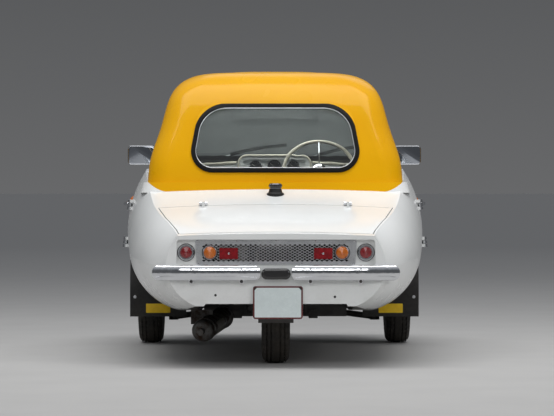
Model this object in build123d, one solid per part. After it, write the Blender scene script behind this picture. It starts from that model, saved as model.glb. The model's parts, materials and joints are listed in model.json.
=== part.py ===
"""A small three wheeled coupe of the late nineteen fifties: two steered wheels in front, one driven wheel behind.

White plastic body with a yellow roof, two doors hinged at their rear edges, and the engine under a lid in the tail.
Millimetres. +Y is forwards, +X is the car's right, +Z is up. The origin is on the ground at mid length.
"""

import os
from math import hypot

from build123d import *

os.makedirs("parts", exist_ok=True)

# Overall
LENGTH = 2900
BODY_END = 35  # the bumpers stand this far beyond the body
WHEELBASE = 1800
REAR_AXLE_Y = -1020
FRONT_AXLE_Y = REAR_AXLE_Y + WHEELBASE
FRONT_TRACK = 1220
HUB_X = FRONT_TRACK / 2
NOSE_Y = LENGTH / 2 - BODY_END
TAIL_Y = -NOSE_Y

# Walls and gaps
WALL = 14  # moulded body skin
PANEL = 10  # inner walls and liners
ROOF_WALL = 18
DOOR_WALL = 36
GLASS = 5
SHUT_GAP = 5  # between a door or lid and its opening
DOOR_FRONT_GAP = 7
FRAME_GAP = 8
SEAT_GAP = 0.3  # under the seats
LENS_GAP = 0.3  # round a lamp's lens

# Wheels
TYRE_R = 240
TYRE_HALF = 62
RIM_R = 127
RIM_HALF = 50
KINGPIN_X = 500
KINGPIN_R = 9
ARCH_R = 316
ARCH_INNER_X = 392
STUB_R = 12
REAR_AXLE_R = 9
BORE_GAP = 0.1
PIVOT_Y, PIVOT_Z = -745, 250  # rear swing arm
ARM_X = 105
TRACK_ROD_Y = 680

# Doors
DOOR_REAR_Y = -420
DOOR_FRONT_Y = 380
SILL_Z = 325
HINGE_Z = (520, 690)
HINGE_R = 9
HINGE_PIN_R = 4
HINGE_HALF = 24
HINGE_OUT = 13  # hinge line outside the skin
HINGE_LEAF = 55
DOOR_HINGE_Y = -435

# Engine lid
LID_FRONT_Y = -975
LID_REAR_Y = -1385
LID_HINGE_X = 318
LID_HINGE_UP = 11
LID_MARGIN = 12  # lid edge inside the body's shoulder line

# Cabin fittings
STEER_HUB = Vector(213, 130, 848)
STEER_AXIS = Vector(0, -0.819, 0.574)  # from the hub towards the driver
STEER_R = 170
SEAT_BASE_Z = 340
SEAT_BACK_Y = -340
FILLER_Y = -812

# Body sections, from tail to nose
HULL = [
    # y, bottom z, bottom half, widest half, widest z, shoulder half, shoulder z, crown z, tuck bulge, flank bulge
    (TAIL_Y, 262, 340, 470, 430, 418, 562, 571, 30, 12),
    (-1330, 250, 372, 525, 438, 436, 586, 596, 36, 16),
    (-1150, 236, 410, 588, 450, 488, 636, 649, 42, 26),
    (-900, 226, 428, 638, 462, 540, 696, 713, 48, 30),
    (-740, 220, 436, 652, 468, 560, 744, 761, 50, 34),
    (-420, 216, 440, 668, 474, 590, 820, 842, 52, 36),
    (0, 215, 440, 686, 478, 603, 856, 884, 52, 36),
    (400, 215, 440, 694, 484, 600, 852, 888, 52, 38),
    (780, 222, 436, 692, 490, 572, 792, 842, 50, 44),
    (1080, 240, 420, 664, 488, 530, 706, 762, 46, 44),
    (1300, 275, 390, 596, 470, 470, 616, 668, 36, 36),
    (NOSE_Y, 320, 340, 500, 450, 390, 540, 590, 24, 22),
]
SHOULDER = 5  # column of the shoulder half width

# Cabin outlines, from waist to roof
CABIN = [
    # z, rear y, front y, half width, rear bulge, front bulge, rear corner, front corner
    (745, -742, 735, 600, 22, 95, 100, 120),
    (860, -690, 640, 572, 24, 95, 105, 120),
    (1000, -622, 520, 535, 26, 90, 110, 120),
    (1130, -548, 402, 500, 28, 85, 115, 120),
    (1215, -484, 312, 466, 30, 80, 120, 125),
    (1270, -412, 232, 405, 30, 75, 125, 125),
    (1298, -320, 140, 300, 30, 60, 120, 120),
    (1306, -230, 50, 190, 30, 50, 100, 100),
]

# Openings
WELL_HALF = 545
WELL_REAR_Y = -700
WELL_FRONT_Y = 415
SHELF_Z = 690
ENGINE_BAY_HALF = 330
TRAY_DEPTH = 22
TRAY_FLOOR_Y = TAIL_Y + TRAY_DEPTH
TRAY = [(-424, 436), (424, 436), (422, 546), (-422, 546)]
GRILLE = [(-338, 438), (338, 438), (345, 544), (-345, 544)]
MESH = [(-322, 449), (322, 449), (327, 534), (-327, 534)]
NOSE_GRILLE = [(-190, 395), (190, 395), (215, 500), (-215, 500)]
REAR_WINDOW = [(-391, 842), (391, 842), (339, 1144), (-339, 1144)]
WINDSCREEN = [(-505, 910), (505, 910), (425, 1186), (-425, 1186)]
DOOR_OPENING = [(-420, 600), (384, 600), (384, 868), (150, 1192), (-322, 1192), (-420, 868)]  # y, z
SEAL_BAND = 14
SEAL_LIP = 6
SEAL_PROUD = 5
FRAME_BAND = 24
FRAME_PROUD = 3
SKIRT_Z = 792
SKIRT_OUT = 8

# Lamps and plate
ROUND_LAMP = (383, 491, 36, 26)  # x, z, radius, lens radius
AMBER_LAMP = (282, 490, 32, 27)
WING_LAMP = (820, 694, 42)  # y, z, radius
HEADLAMP_R = 92
LAMP_FACE = (397, 1370, 576)
LAMP_AIM = (0.02, 1, 0.02)
PLATE = (-98, 114, 208, 348)  # x limits, z limits


def slab(x0, x1, y0, y1, z0, z1):
    """A box from its low and high limits on each axis."""
    return Pos((x0 + x1) / 2, (y0 + y1) / 2, (z0 + z1) / 2) * Box(x1 - x0, y1 - y0, z1 - z0)


def rod(start, end, radius):
    """A round bar between two points."""
    start, end = Vector(start), Vector(end)
    return extrude(Plane(start, z_dir=end - start) * Circle(radius), (end - start).length)


def tube(points, radius, bend):
    """A round bar along straight runs with rounded corners."""
    path = FilletPolyline(*[Vector(p) for p in points], radius=bend)
    return sweep(Plane(path @ 0, z_dir=path % 0) * Circle(radius), path=path)


def lathe(profile, origin, direction):
    """Turns a closed profile of (radius, distance) points about a line through origin along direction."""
    face = Plane.XZ * make_face(Polyline(*profile, close=True))
    return Plane(origin, z_dir=direction) * revolve(face, Axis.Z)


def mirrored(shape):
    return mirror(shape, about=Plane.YZ)


def group(*shapes):
    return Compound(children=[solid for shape in shapes for solid in shape.solids()])


def both(shape):
    """The right hand piece and its mirror image."""
    return group(shape, mirrored(shape))


def one(shape):
    """The largest solid, where a cut leaves a crumb."""
    return max(shape.solids(), key=lambda solid: solid.volume)


def side_prism(points, x0, x1):
    """A side view outline of (y, z) points, extruded from x0 to x1."""
    return extrude(Plane.YZ.offset(x0) * make_face(Polyline(*points, close=True)), x1 - x0)


def front_outline(points, radius, grow=0):
    """A rounded outline of (x, z) points seen from the front, grown outwards by grow."""
    face = fillet(make_face(Polyline(*points, close=True)).vertices(), radius)
    return offset(face, grow, kind=Kind.ARC) if grow else face


def front_prism(outline, y0, y1):
    return extrude(Plane.XZ.offset(-y0) * outline, -(y1 - y0))


def bulged(a, b, bulge, y):
    """An arc from a to b in the section at y, standing out from its chord by bulge."""
    (ax, az), (bx, bz) = a, b
    length = hypot(bx - ax, bz - az)
    nx, nz = (bz - az) / length, -(bx - ax) / length
    mid = ((ax + bx) / 2 + nx * bulge, (az + bz) / 2 + nz * bulge)
    return ThreePointArc((ax, y, az), (mid[0], y, mid[1]), (bx, y, bz))


def hull_section(row, inset):
    y, bz, bw, ww, wz, sw, sz, cz, tuck, flank = row
    low, wide, high = (bw - 0.6 * inset, bz + inset), (ww - inset, wz), (sw - 1.1 * inset, sz - inset)
    left = [(-x, z) for x, z in (low, wide, high)]
    edges = [
        Line((left[0][0], y, left[0][1]), (low[0], y, low[1])),
        bulged(low, wide, tuck, y),
        bulged(wide, high, flank, y),
        ThreePointArc((high[0], y, high[1]), (0, y, cz - inset), (left[2][0], y, left[2][1])),
        bulged(left[2], left[1], flank, y),
        bulged(left[1], left[0], tuck, y),
    ]
    return Face(Wire(edges))


def hull(inset=0):
    """The body's outer form, or the same form set in by a wall's thickness."""
    rows = [list(row) for row in HULL]
    rows[0][0] += inset
    rows[-1][0] -= inset
    return loft([hull_section(row, inset) for row in rows])


def cabin_section(row, inset):
    z, rear, front, half, rear_bulge, front_bulge, rear_corner, front_corner = row
    rear, front, half = rear + inset, front - inset, half - inset
    a, b = (-half, rear + rear_bulge, z), (half, rear + rear_bulge, z)
    c, d = (half, front - front_bulge, z), (-half, front - front_bulge, z)
    edges = [ThreePointArc(a, (0, rear, z), b), Line(b, c), ThreePointArc(c, (0, front, z), d), Line(d, a)]
    wire = Wire(edges)
    wire = wire.fillet_2d(rear_corner - inset / 2, wire.vertices().sort_by(Axis.Y)[:2])
    wire = wire.fillet_2d(front_corner - inset / 2, wire.vertices().sort_by(Axis.Y)[-2:])
    return Face(wire)


def cabin(inset=0):
    """The cabin's outer form, or the same form set in."""
    rows = [list(row) for row in CABIN]
    rows[-1][0] -= inset
    rows[-2][0] -= inset / 2
    return loft([cabin_section(row, inset) for row in rows])


def cabin_foot(inset):
    """The lowest part of the cabin's form."""
    return loft([cabin_section(row, inset) for row in CABIN[:2]])


def hit(solid, origin, direction):
    """The furthest point along direction where a line leaves the solid."""
    points = [point for point, _ in solid.find_intersection_points(Axis(origin, direction))]
    return max(points, key=lambda point: point.dot(Vector(direction)))


def deck_z(x, y):
    return hit(HULL_OUT, (x, y, 0), (0, 0, 1)).Z


def flank_x(y, z):
    return hit(HULL_OUT, (0, y, z), (1, 0, 0)).X


HULL_OUT = hull()
HULL_IN = hull(WALL)
SHELL = HULL_OUT - HULL_IN
CABIN_OUT = cabin()
CABIN_IN = cabin(ROOF_WALL)
PANE = cabin(5) - cabin(5 + GLASS)
WELL = fillet(
    slab(-WELL_HALF, WELL_HALF, WELL_REAR_Y, WELL_FRONT_Y, SHELF_Z + PANEL, 950).edges().filter_by(Axis.Z), 90
)


def lid_prism(grow):
    """The engine lid's plan, which keeps inside the shoulder line, extruded upwards."""
    inner = [(row[SHOULDER] - LID_MARGIN, row[0]) for row in HULL[1:4]]
    slope = (inner[1][0] - inner[2][0]) / (inner[1][1] - inner[2][1])
    front = (inner[2][0] + slope * (LID_FRONT_Y - inner[2][1]), LID_FRONT_Y)
    slope = (HULL[0][SHOULDER] - HULL[1][SHOULDER]) / (HULL[0][0] - HULL[1][0])
    rear = (inner[0][0] + slope * (LID_REAR_Y - inner[0][1]), LID_REAR_Y)
    right = [rear, inner[0], inner[1], front]
    left = [(-x, y) for x, y in reversed(right)]
    plan = offset(make_face(Polyline(*right, *left, close=True)), grow, kind=Kind.INTERSECTION)
    return extrude(Plane.XY.offset(500) * plan, 300)


def lid_hinges(side):
    """Halves of the engine lid's hinges: side 1 is the fixed leaf with the pin, and -1 the leaf on the lid."""
    knuckle, pin, width, leaf = 7, 3, 11, 30
    pieces = []
    for x in (-LID_HINGE_X, LID_HINGE_X):
        y, z = LID_FRONT_Y + SHUT_GAP / 2, deck_z(x, LID_FRONT_Y) + LID_HINGE_UP
        outer = (width * 1.5 + 1, width / 2 + 1)
        spans = [(-width / 2, width / 2)] if side < 0 else [(-outer[0], -outer[1]), (outer[1], outer[0])]
        for a, b in spans:
            ends = sorted((y, y + side * leaf))
            plate = slab(x + a, x + b, ends[0], ends[1], z - LID_HINGE_UP - WALL / 2, z + knuckle) - HULL_OUT
            bar = rod((x - outer[0], y, z), (x + outer[0], y, z), pin + (BORE_GAP if side < 0 else 0))
            piece = rod((x + a, y, z), (x + b, y, z), knuckle) + plate
            pieces.append(piece - bar if side < 0 else piece + bar)
    return pieces


def door_hinges(side):
    """Halves of the right door's hinges: side -1 carries the pins on the body, and 1 is the door's half."""
    low, high = [Vector(flank_x(DOOR_HINGE_Y, z) + HINGE_OUT, DOOR_HINGE_Y, z) for z in HINGE_Z]
    along = (high - low).normalized()
    pieces = []
    for centre in (low, high):
        pin = (centre - along * HINGE_HALF, centre + along * HINGE_HALF)
        spans = [(-8, 8)] if side > 0 else [(-HINGE_HALF, -9), (9, HINGE_HALF)]
        skin = centre.X - HINGE_OUT
        ends = sorted((DOOR_HINGE_Y, DOOR_HINGE_Y + side * HINGE_LEAF))
        for a, b in spans:
            leaf = slab(skin - 20, skin + 8, ends[0], ends[1], centre.Z + a + 1, centre.Z + b - 1) - HULL_OUT
            piece = rod(centre + along * a, centre + along * b, HINGE_R) + leaf
            pieces.append(piece - rod(*pin, HINGE_PIN_R + BORE_GAP) if side > 0 else piece + rod(*pin, HINGE_PIN_R))
    return pieces


def body_rear():
    body = SHELL & slab(-800, 800, TAIL_Y, DOOR_REAR_Y, 0, 900)
    tray = front_prism(front_outline(TRAY, 14, PANEL), TAIL_Y + 2, TRAY_FLOOR_Y + PANEL) & HULL_OUT
    body = body + tray - front_prism(front_outline(TRAY, 14), TAIL_Y - 50, TRAY_FLOOR_Y)
    body -= front_prism(front_outline(MESH, 4, 8), TAIL_Y - 50, TRAY_FLOOR_Y + 50)
    bulkhead = slab(-800, 800, DOOR_REAR_Y - PANEL, DOOR_REAR_Y, 200, SHELF_Z + PANEL)
    post = slab(WELL_HALF, 800, DOOR_REAR_Y - PANEL, DOOR_REAR_Y, SHELF_Z, 900)
    shelf = slab(-800, 800, WELL_REAR_Y - 20, DOOR_REAR_Y, SHELF_Z, SHELF_Z + PANEL)
    body += (bulkhead + shelf + post + mirrored(post)) & HULL_OUT
    bay = slab(-ENGINE_BAY_HALF, ENGINE_BAY_HALF, TAIL_Y + WALL, DOOR_REAR_Y - PANEL, 150, 300)
    notch = make_face(Polyline((-345, 200), (345, 200), (300, 272), (-300, 272), close=True))
    body -= [WELL, lid_prism(SHUT_GAP), bay, front_prism(notch, TAIL_Y - 5, TAIL_Y + WALL + 5)]
    hinges = door_hinges(-1)
    return one(one(body) + lid_hinges(1) + hinges + [mirrored(piece) for piece in hinges])


def engine_lid():
    lid = SHELL & lid_prism(0)
    for piece in lid_hinges(-1):
        lid += piece
    return one(lid)


def wheel_arch():
    """The space cut for the right front wheel."""
    return rod((ARCH_INNER_X, FRONT_AXLE_Y, TYRE_R), (800, FRONT_AXLE_Y, TYRE_R), ARCH_R)


def front_bulkhead():
    """The toe board with both wheel arch liners, inside the front skin."""
    liner = rod((ARCH_INNER_X - PANEL, FRONT_AXLE_Y, TYRE_R), (800, FRONT_AXLE_Y, TYRE_R), ARCH_R + PANEL)
    toe = slab(-ARCH_INNER_X, ARCH_INNER_X, 930, 930 + PANEL, 200, 900)
    panels = (toe + [liner, mirrored(liner)]) & HULL_IN
    return one(panels - [wheel_arch(), mirrored(wheel_arch()), WELL])


def body_front():
    body = SHELL & slab(-800, 800, DOOR_FRONT_Y, NOSE_Y, 0, 900)
    post = slab(450, 800, DOOR_FRONT_Y, DOOR_FRONT_Y + PANEL, 200, 900) & HULL_OUT
    radius = HEADLAMP_R
    profile = [(0, -330), (40, -330), (radius - 14, -240), (radius, -140), (radius, 0), (0, 0)]
    pod = lathe(profile, LAMP_FACE, LAMP_AIM) - HULL_IN
    body += [post, mirrored(post), pod, mirrored(pod)]
    arch = wheel_arch()
    socket = lathe([(0, 0), (radius + 2, 0), (radius + 2, 120), (0, 120)], LAMP_FACE, LAMP_AIM)
    grille = front_prism(front_outline(NOSE_GRILLE, 20), NOSE_Y - 100, NOSE_Y + 50)
    return one(body - [arch, mirrored(arch), socket, mirrored(socket), WELL, grille])


def floor_tub():
    return one(SHELL & slab(-800, 800, DOOR_REAR_Y, DOOR_FRONT_Y, 0, SILL_Z))


def rear_window(grow=0):
    return front_prism(front_outline(REAR_WINDOW, 92, grow), -900, -300)


def windscreen(grow=0):
    return front_prism(front_outline(WINDSCREEN, 70, grow), 120, 900)


def door_opening(grow=0):
    outline = offset(make_face(Polyline(*DOOR_OPENING, close=True)), grow, kind=Kind.INTERSECTION)
    return extrude(Plane.YZ.offset(300) * outline, 500)


def roof():
    shell = CABIN_OUT - CABIN_IN
    skirt = (cabin_foot(-SKIRT_OUT) - cabin_foot(ROOF_WALL / 2)) & slab(-800, 800, -900, DOOR_REAR_Y, 700, SKIRT_Z)
    opening = door_opening()
    return one((shell + skirt) - [HULL_OUT, rear_window(), windscreen(), opening, mirrored(opening)])


def window_seals(roof_shell):
    band = cabin(-SEAL_PROUD) - cabin(ROOF_WALL + 2)
    rear = (band & (rear_window(SEAL_LIP) - rear_window(-SEAL_BAND))) - roof_shell
    front = (band & (windscreen(SEAL_LIP) - windscreen(-SEAL_BAND))) - roof_shell - HULL_OUT
    return group(one(rear), one(front))


def fixed_glass():
    return group(one(PANE & rear_window(-SEAL_BAND)), one(PANE & windscreen(-SEAL_BAND)))


def door_panel():
    limits = slab(WELL_HALF, 800, DOOR_REAR_Y + SHUT_GAP, DOOR_FRONT_Y - DOOR_FRONT_GAP, SILL_Z + SHUT_GAP, 900)
    panel = (HULL_OUT - hull(DOOR_WALL)) & limits
    panel -= slab(WELL_HALF - 5, 575, DOOR_FRONT_Y - 18, DOOR_FRONT_Y, SILL_Z, 900)
    for piece in door_hinges(1):
        panel += piece
    return one(panel)


def door_frame():
    band = cabin(-FRAME_PROUD) - CABIN_IN
    ring = band & (door_opening(-FRAME_GAP) - door_opening(-FRAME_GAP - FRAME_BAND))
    return one(ring - HULL_OUT)


def door_glass():
    return one((PANE & door_opening(-FRAME_GAP - FRAME_BAND)) - HULL_OUT)


def door_handle():
    y, z = 300, 692
    x = flank_x(y, z)
    post = rod((x - 5, y, z), (x + 34, y, z), 8) - HULL_OUT
    return one(post + rod((x + 34, y + 12, z), (x + 34, y - 95, z), 9))


def chassis_frame():
    rail = slab(150, 190, -722, 640, 182, 250) - HULL_OUT
    frame = rail + mirrored(rail)
    for y in (-470, -705):
        frame += slab(-320, 320, y, y + 30, 190, 240)
    hoop = tube([(200, -690, 230), (200, -712, 600), (200, -888, 600), (150, -888, 600)], 14, 30)
    frame += hoop
    frame += mirrored(hoop)
    frame += rod((-152, -888, 600), (152, -888, 600), 14)
    for x in (-136, 136):
        frame += slab(x - 6, x + 6, PIVOT_Y - 22, -690, PIVOT_Z - 50, PIVOT_Z + 24)
    return one(frame)


def swing_arm():
    arm = rod((-130, PIVOT_Y, PIVOT_Z), (130, PIVOT_Y, PIVOT_Z), 16)
    for x in (-ARM_X, ARM_X):
        arm += rod((x, PIVOT_Y, PIVOT_Z), (x, REAR_AXLE_Y, TYRE_R), 12)
        arm += rod((x - 11, REAR_AXLE_Y, TYRE_R), (x + 11, REAR_AXLE_Y, TYRE_R), 22)
        arm += rod((x, -975, 248), (x, -891, 586), 18)
    arm += rod((-ARM_X - 18, REAR_AXLE_Y, TYRE_R), (ARM_X + 18, REAR_AXLE_Y, TYRE_R), REAR_AXLE_R)
    return one(arm - rod((-152, -888, 600), (152, -888, 600), 14))


def rear_mudguard():
    outer, sheet = 284, 4
    y, z = REAR_AXLE_Y, TYRE_R
    ring = rod((-76, y, z), (76, y, z), outer) - rod((-80, y, z), (80, y, z), outer - sheet)
    reach = [(0, 0), (-2 * outer, -110), (-2 * outer, 2 * outer), (0.5 * outer, 2 * outer)]
    guard = ring & side_prism([(y + dy, z + dz) for dy, dz in reach], -90, 90)
    for side in (-1, 1):
        x0, x1 = sorted((side * 72, side * (ARM_X + 4)))
        guard += slab(x0, x1, y - 40, y - 20, z + outer - 20, z + outer - 4)
        x0, x1 = sorted((side * (ARM_X - 4), side * (ARM_X + 4)))
        guard += slab(x0, x1, y - 40, y - 10, z, z + outer - 8)
    return one(guard - swing_arm())


def front_suspension():
    beam = slab(-225, 225, 742, 818, 140, 195) + (slab(-120, 120, 742, 818, 190, 240) - HULL_OUT)
    for side in (-1, 1):
        x = side * KINGPIN_X
        beam += rod((side * 215, FRONT_AXLE_Y, 165), (x, FRONT_AXLE_Y, 127), 15)
        beam += rod((x, FRONT_AXLE_Y, 112), (x, FRONT_AXLE_Y, 144), 24)
        beam += rod((x, FRONT_AXLE_Y, 130), (x, FRONT_AXLE_Y, 340), KINGPIN_R)
        strut = rod((x, FRONT_AXLE_Y, 322), (x, FRONT_AXLE_Y, 570), 25)
        beam += strut & rod((x - 60, FRONT_AXLE_Y, TYRE_R), (x + 60, FRONT_AXLE_Y, TYRE_R), ARCH_R)
    return one(beam)


def knuckle():
    """The right hand upright: it turns on the kingpin and carries the stub axle, brake plate and steering arm."""
    y, z = FRONT_AXLE_Y, TYRE_R
    plate = HUB_X - RIM_HALF - 8
    body = rod((KINGPIN_X, y, 150), (KINGPIN_X, y, 316), 20)
    body += rod((KINGPIN_X, y, z), (HUB_X + 24, y, z), STUB_R)
    body += rod((KINGPIN_X, y, z), (plate, y, z), 26)
    body += rod((plate - 4, y, z), (plate, y, z), 96)
    body += slab(KINGPIN_X - 10, KINGPIN_X + 10, TRACK_ROD_Y, y, 196, 210)
    body += rod((KINGPIN_X, TRACK_ROD_Y, 196), (KINGPIN_X, TRACK_ROD_Y, 210), 14)
    body += rod((KINGPIN_X, TRACK_ROD_Y, 166), (KINGPIN_X, TRACK_ROD_Y, 200), 5)
    return one(body - rod((KINGPIN_X, y, 100), (KINGPIN_X, y, 330), KINGPIN_R + BORE_GAP))


def track_rod():
    """The rod between the two steering arms, with a loose rubber boot around each arm's pin."""
    z = 185.85
    bar = rod((22 - KINGPIN_X, TRACK_ROD_Y, z), (KINGPIN_X - 22, TRACK_ROD_Y, z), 9)
    for x in (-KINGPIN_X, KINGPIN_X):
        bar += rod((x, TRACK_ROD_Y, z - 9.85), (x, TRACK_ROD_Y, z + 9.85), 27)
    for x in (-KINGPIN_X, KINGPIN_X):
        bar -= rod((x, TRACK_ROD_Y, z - 20), (x, TRACK_ROD_Y, z + 20), 20)
    return one(bar)


def steering_column(facia):
    column = rod(STEER_HUB - STEER_AXIS * 13, STEER_HUB - STEER_AXIS * 1000, 15)
    return one(column - slab(-800, 800, 930, 1500, 0, 900) - facia)


def steering_wheel():
    plane = Plane(STEER_HUB, x_dir=(1, 0, 0), z_dir=STEER_AXIS)
    wheel = plane * Cylinder(30, 25) + plane * Torus(STEER_R, 8.5)
    for angle in (0, 180, 270):
        wheel += plane * Rot(0, 0, angle) * Pos(STEER_R / 2, 0, 0) * Box(STEER_R, 16, 5)
    return one(wheel)


def dashboard():
    rounded = fillet(slab(-528, 528, 352, WELL_FRONT_Y, 775, 950).edges().filter_by(Axis.Y), 20)
    facia = rounded & WELL & HULL_OUT
    facia += slab(-500, 500, 372, 455, 775, 900) & HULL_IN
    hump = fillet(slab(-178, 178, 338, 400, 800, 925).edges().filter_by(Axis.Y), 40)
    return one(facia + hump - slab(-150, 150, 330, 350, 835, 905))


def seats():
    """Two padded seats, each a cushion and a back, as plain closed pieces."""
    pieces = []
    for side in (-1, 1):
        x0, x1 = sorted((side * 35, side * 500))
        base = slab(x0, x1, SEAT_BACK_Y + 70, 130, SEAT_BASE_Z + SEAT_GAP, SEAT_BASE_Z + 125)
        pieces.append(fillet(base.edges(), 30))
        foot = SEAT_BASE_Z + SEAT_GAP
        back = side_prism([(SEAT_BACK_Y, foot), (SEAT_BACK_Y + 66, foot), (-300, 790), (-384, 790)], x0, x1)
        pieces.append(fillet(back.edges(), 22))
    return group(*pieces)


def seat_base():
    return one(fillet(slab(-505, 505, -400, 120, 100, SEAT_BASE_Z).edges().filter_by(Axis.Z), 30) & HULL_IN)


def engine():
    block = fillet(slab(-255, 60, -672, -436, 240, 520).edges().filter_by(Axis.Z), 20)
    return one(block + slab(-200, -10, -660, -450, 520, 610))


def exhaust():
    front, rear = Vector(-236, -735, 188), Vector(-316, -1170, 147)
    along = (rear - front).normalized()
    can = rod(front, rear, 47.5) + rod(rear, rear + along * 60, 14)
    can += tube([front + along * 5, front - along * 45, (-224, -650, 225), (-224, -650, 262)], 16, 20)
    can += slab(-372, -276, -1012, -992, 168, 250) - HULL_OUT
    return one(can - engine() - chassis_frame())


def fuel_filler():
    """A rubber boot round the neck, a clip and a low cap."""
    boot = [(0, -20), (39, -20), (39, 2), (31, 8), (27, 23)]
    cap = [(28.5, 24), (28.5, 29), (26.5, 30), (29, 33), (29, 42), (24, 47), (0, 47)]
    return one(lathe(boot + cap, (0, FILLER_Y, deck_z(0, FILLER_Y)), (0, 0, 1)) - HULL_OUT)


def expanded_sheet(x0, x1, z0, z1, pitch, rise, strand):
    """A flat sheet with staggered rows of diamond openings."""
    holes = []
    half_w, half_h = pitch / 2 - strand, rise / 2 - strand / 2
    for row in range(int((z1 - z0) / (rise / 2)) - 1):
        z = z0 + (row + 1) * rise / 2
        shift = pitch / 2 if row % 2 else 0
        for i in range(int((x1 - x0 - shift) / pitch)):
            x = x0 + shift + (i + 0.5) * pitch
            corners = [(x - half_w, z), (x, z - half_h), (x + half_w, z), (x, z + half_h)]
            holes.append(Wire(Polyline(*corners, close=True).edges()))
    return Face(Wire(Polyline((x0, z0), (x1, z0), (x1, z1), (x0, z1), close=True).edges()), holes)


def rear_grille():
    """An aluminium frame with a sheet of expanded metal in its opening."""
    y = TRAY_FLOOR_Y
    frame = front_prism(front_outline(GRILLE, 8), y - 4, y) - front_prism(front_outline(MESH, 4), y - 10, y + 10)
    sheet = front_prism(expanded_sheet(-318, 318, 450, 533, 21, 12, 2.4), y, y + 2)
    rim = front_prism(front_outline(MESH, 4, 6), y, y + 2) - slab(-316, 316, y - 5, y + 5, 452, 531)
    return one(frame + (sheet + rim))


def front_grille():
    y = NOSE_Y - WALL
    rim = front_prism(front_outline(NOSE_GRILLE, 20), y, y + WALL + 3)
    rim -= front_prism(front_outline(NOSE_GRILLE, 20, -12), y - 10, y + 30)
    return one(rim + front_prism(expanded_sheet(-184, 184, 404, 491, 26, 13, 3.2), y + 2, y + 4))


def lens(x, z, radius, depth, dome):
    """A round lens on the tail tray."""
    profile = [(0, 0), (radius, 0), (radius, depth), (radius * 0.8, depth + dome * 0.6), (0, depth + dome)]
    return lathe(profile, (x, TRAY_FLOOR_Y - 3, z), (0, -1, 0))


def lamp_rims():
    """The rings around the tail, indicator and wing lamps."""
    pieces = []
    for x, z, radius, inner in (ROUND_LAMP, AMBER_LAMP):
        profile = [(0, 0), (radius, 0), (radius, 6), ((radius + inner) / 2, 12), (inner, 12), (inner, 3), (0, 3)]
        pieces.append(lathe(profile, (x, TRAY_FLOOR_Y, z), (0, -1, 0)))
    y, z, radius = WING_LAMP
    x = flank_x(y, z)
    pieces.append(rod((x - 40, y, z), (x + 9, y, z), radius) - HULL_OUT)
    return both(group(*pieces))


def tail_lamps():
    x, z, _, radius = ROUND_LAMP
    reflector = slab(162, 241, TRAY_FLOOR_Y - 14, TRAY_FLOOR_Y, 463, 510)
    return both(group(lens(x, z, radius - LENS_GAP, 12, 12), reflector))


def indicator_lamps():
    x, z, _, radius = AMBER_LAMP
    y, wing_z, _ = WING_LAMP
    profile = [(0, 0), (37, 0), (36, 8), (31, 18), (23, 25), (12, 29), (0, 30)]
    side = one(lathe(profile, (flank_x(y, wing_z) + 9, y, wing_z), (1, 0, 0)) - hull(-LENS_GAP))
    return both(group(lens(x, z, radius - LENS_GAP, 12, 14), side))


def headlamp_rims():
    r = HEADLAMP_R
    profile = [(0, 0), (r, 0), (r, 14), (r - 8, 20), (r - 12, 20), (r - 12, 4), (0, 4)]
    return both(lathe(profile, LAMP_FACE, LAMP_AIM))


def headlamp_lenses():
    r = HEADLAMP_R - 12
    profile = [(0, 4), (r, 4), (r, 14), (0.7 * r, 26), (0.35 * r, 31), (0, 32)]
    return both(lathe(profile, LAMP_FACE, LAMP_AIM))


def bumper(x0, x1, bend_x, end_y, y, z):
    path = FilletPolyline((x0, y, z), (bend_x, y, z), (x1, end_y, z), radius=150)
    return sweep(Plane(path @ 0, x_dir=(0, 0, 1), z_dir=path % 0) * Ellipse(32, 16), path=path)


def bar_ends(x0, x1, z0, z1):
    """A block seen from behind as a bar with rounded ends."""
    outline = front_outline([(x0, z0), (x1, z0), (x1, z1), (x0, z1)], 0.45 * (z1 - z0))
    return front_prism(outline, TAIL_Y - 100, NOSE_Y + 100)


def bumpers():
    """Four half round bars with rounded ends, each on two stays."""
    rear_y, front_y = TAIL_Y - BODY_END + 16, NOSE_Y + BODY_END - 16
    rear = bumper(66, 528, 400, rear_y + 30, rear_y, 404) & bar_ends(66, 528, 372, 436)
    for x in (152, 375):
        rear += rod((x, rear_y, 404), (x, TAIL_Y, 404), 8)
    front = bumper(240, 520, 400, front_y - 30, front_y, 385) & bar_ends(240, 520, 353, 417)
    for x in (280, 400):
        front += rod((x, front_y, 385), (x, NOSE_Y, 385), 8)
    return both(group(one(rear - HULL_OUT), one(front - HULL_OUT)))


def number_plate():
    x0, x1, z0, z1 = PLATE
    bracket = slab(x0 + 20, x1 - 20, TAIL_Y - 8, TAIL_Y, 280, 340)
    return one(bracket + slab(x0, x1, TAIL_Y - 11, TAIL_Y - 8, z0, z1))


def plate_lamp():
    """A low housing with round ends and a softened outer edge."""
    housing = fillet(slab(-62, 62, TAIL_Y - 34, TAIL_Y, 376, 424).edges().filter_by(Axis.Y), 22)
    return one(fillet(housing.faces().sort_by(Axis.Y)[0].edges(), 12))


def mirrors():
    x, y, z = 648, 462, 926
    head = fillet(slab(x - 66, x + 66, y - 10, y + 10, z - 46, z + 46).edges().filter_by(Axis.Y), 16)
    foot = (590, y, deck_z(590, y))
    stem = rod((590, y, foot[2] - 12), (606, y, z - 20), 6) - HULL_OUT
    stem += lathe([(0, -20), (12, -20), (12, 5), (0, 8)], foot, (0, 0, 1)) - HULL_OUT
    return both(one(head + stem))


def mudflaps():
    sheet = 5
    y, z = FRONT_AXLE_Y, TYRE_R
    x0, x1 = 430, 704
    ring = rod((x0, y, z), (x1, y, z), ARCH_R) - rod((x0 - 9, y, z), (x1 + 9, y, z), ARCH_R - sheet)
    flap = ring & slab(x0, x1, y - ARCH_R - 10, y - 0.8 * ARCH_R, z, z + 0.62 * ARCH_R)
    flap += slab(x0, x1, y - ARCH_R + 1, y - ARCH_R + 1 + sheet, 140, z + 10)
    return both(one(flap))


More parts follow.
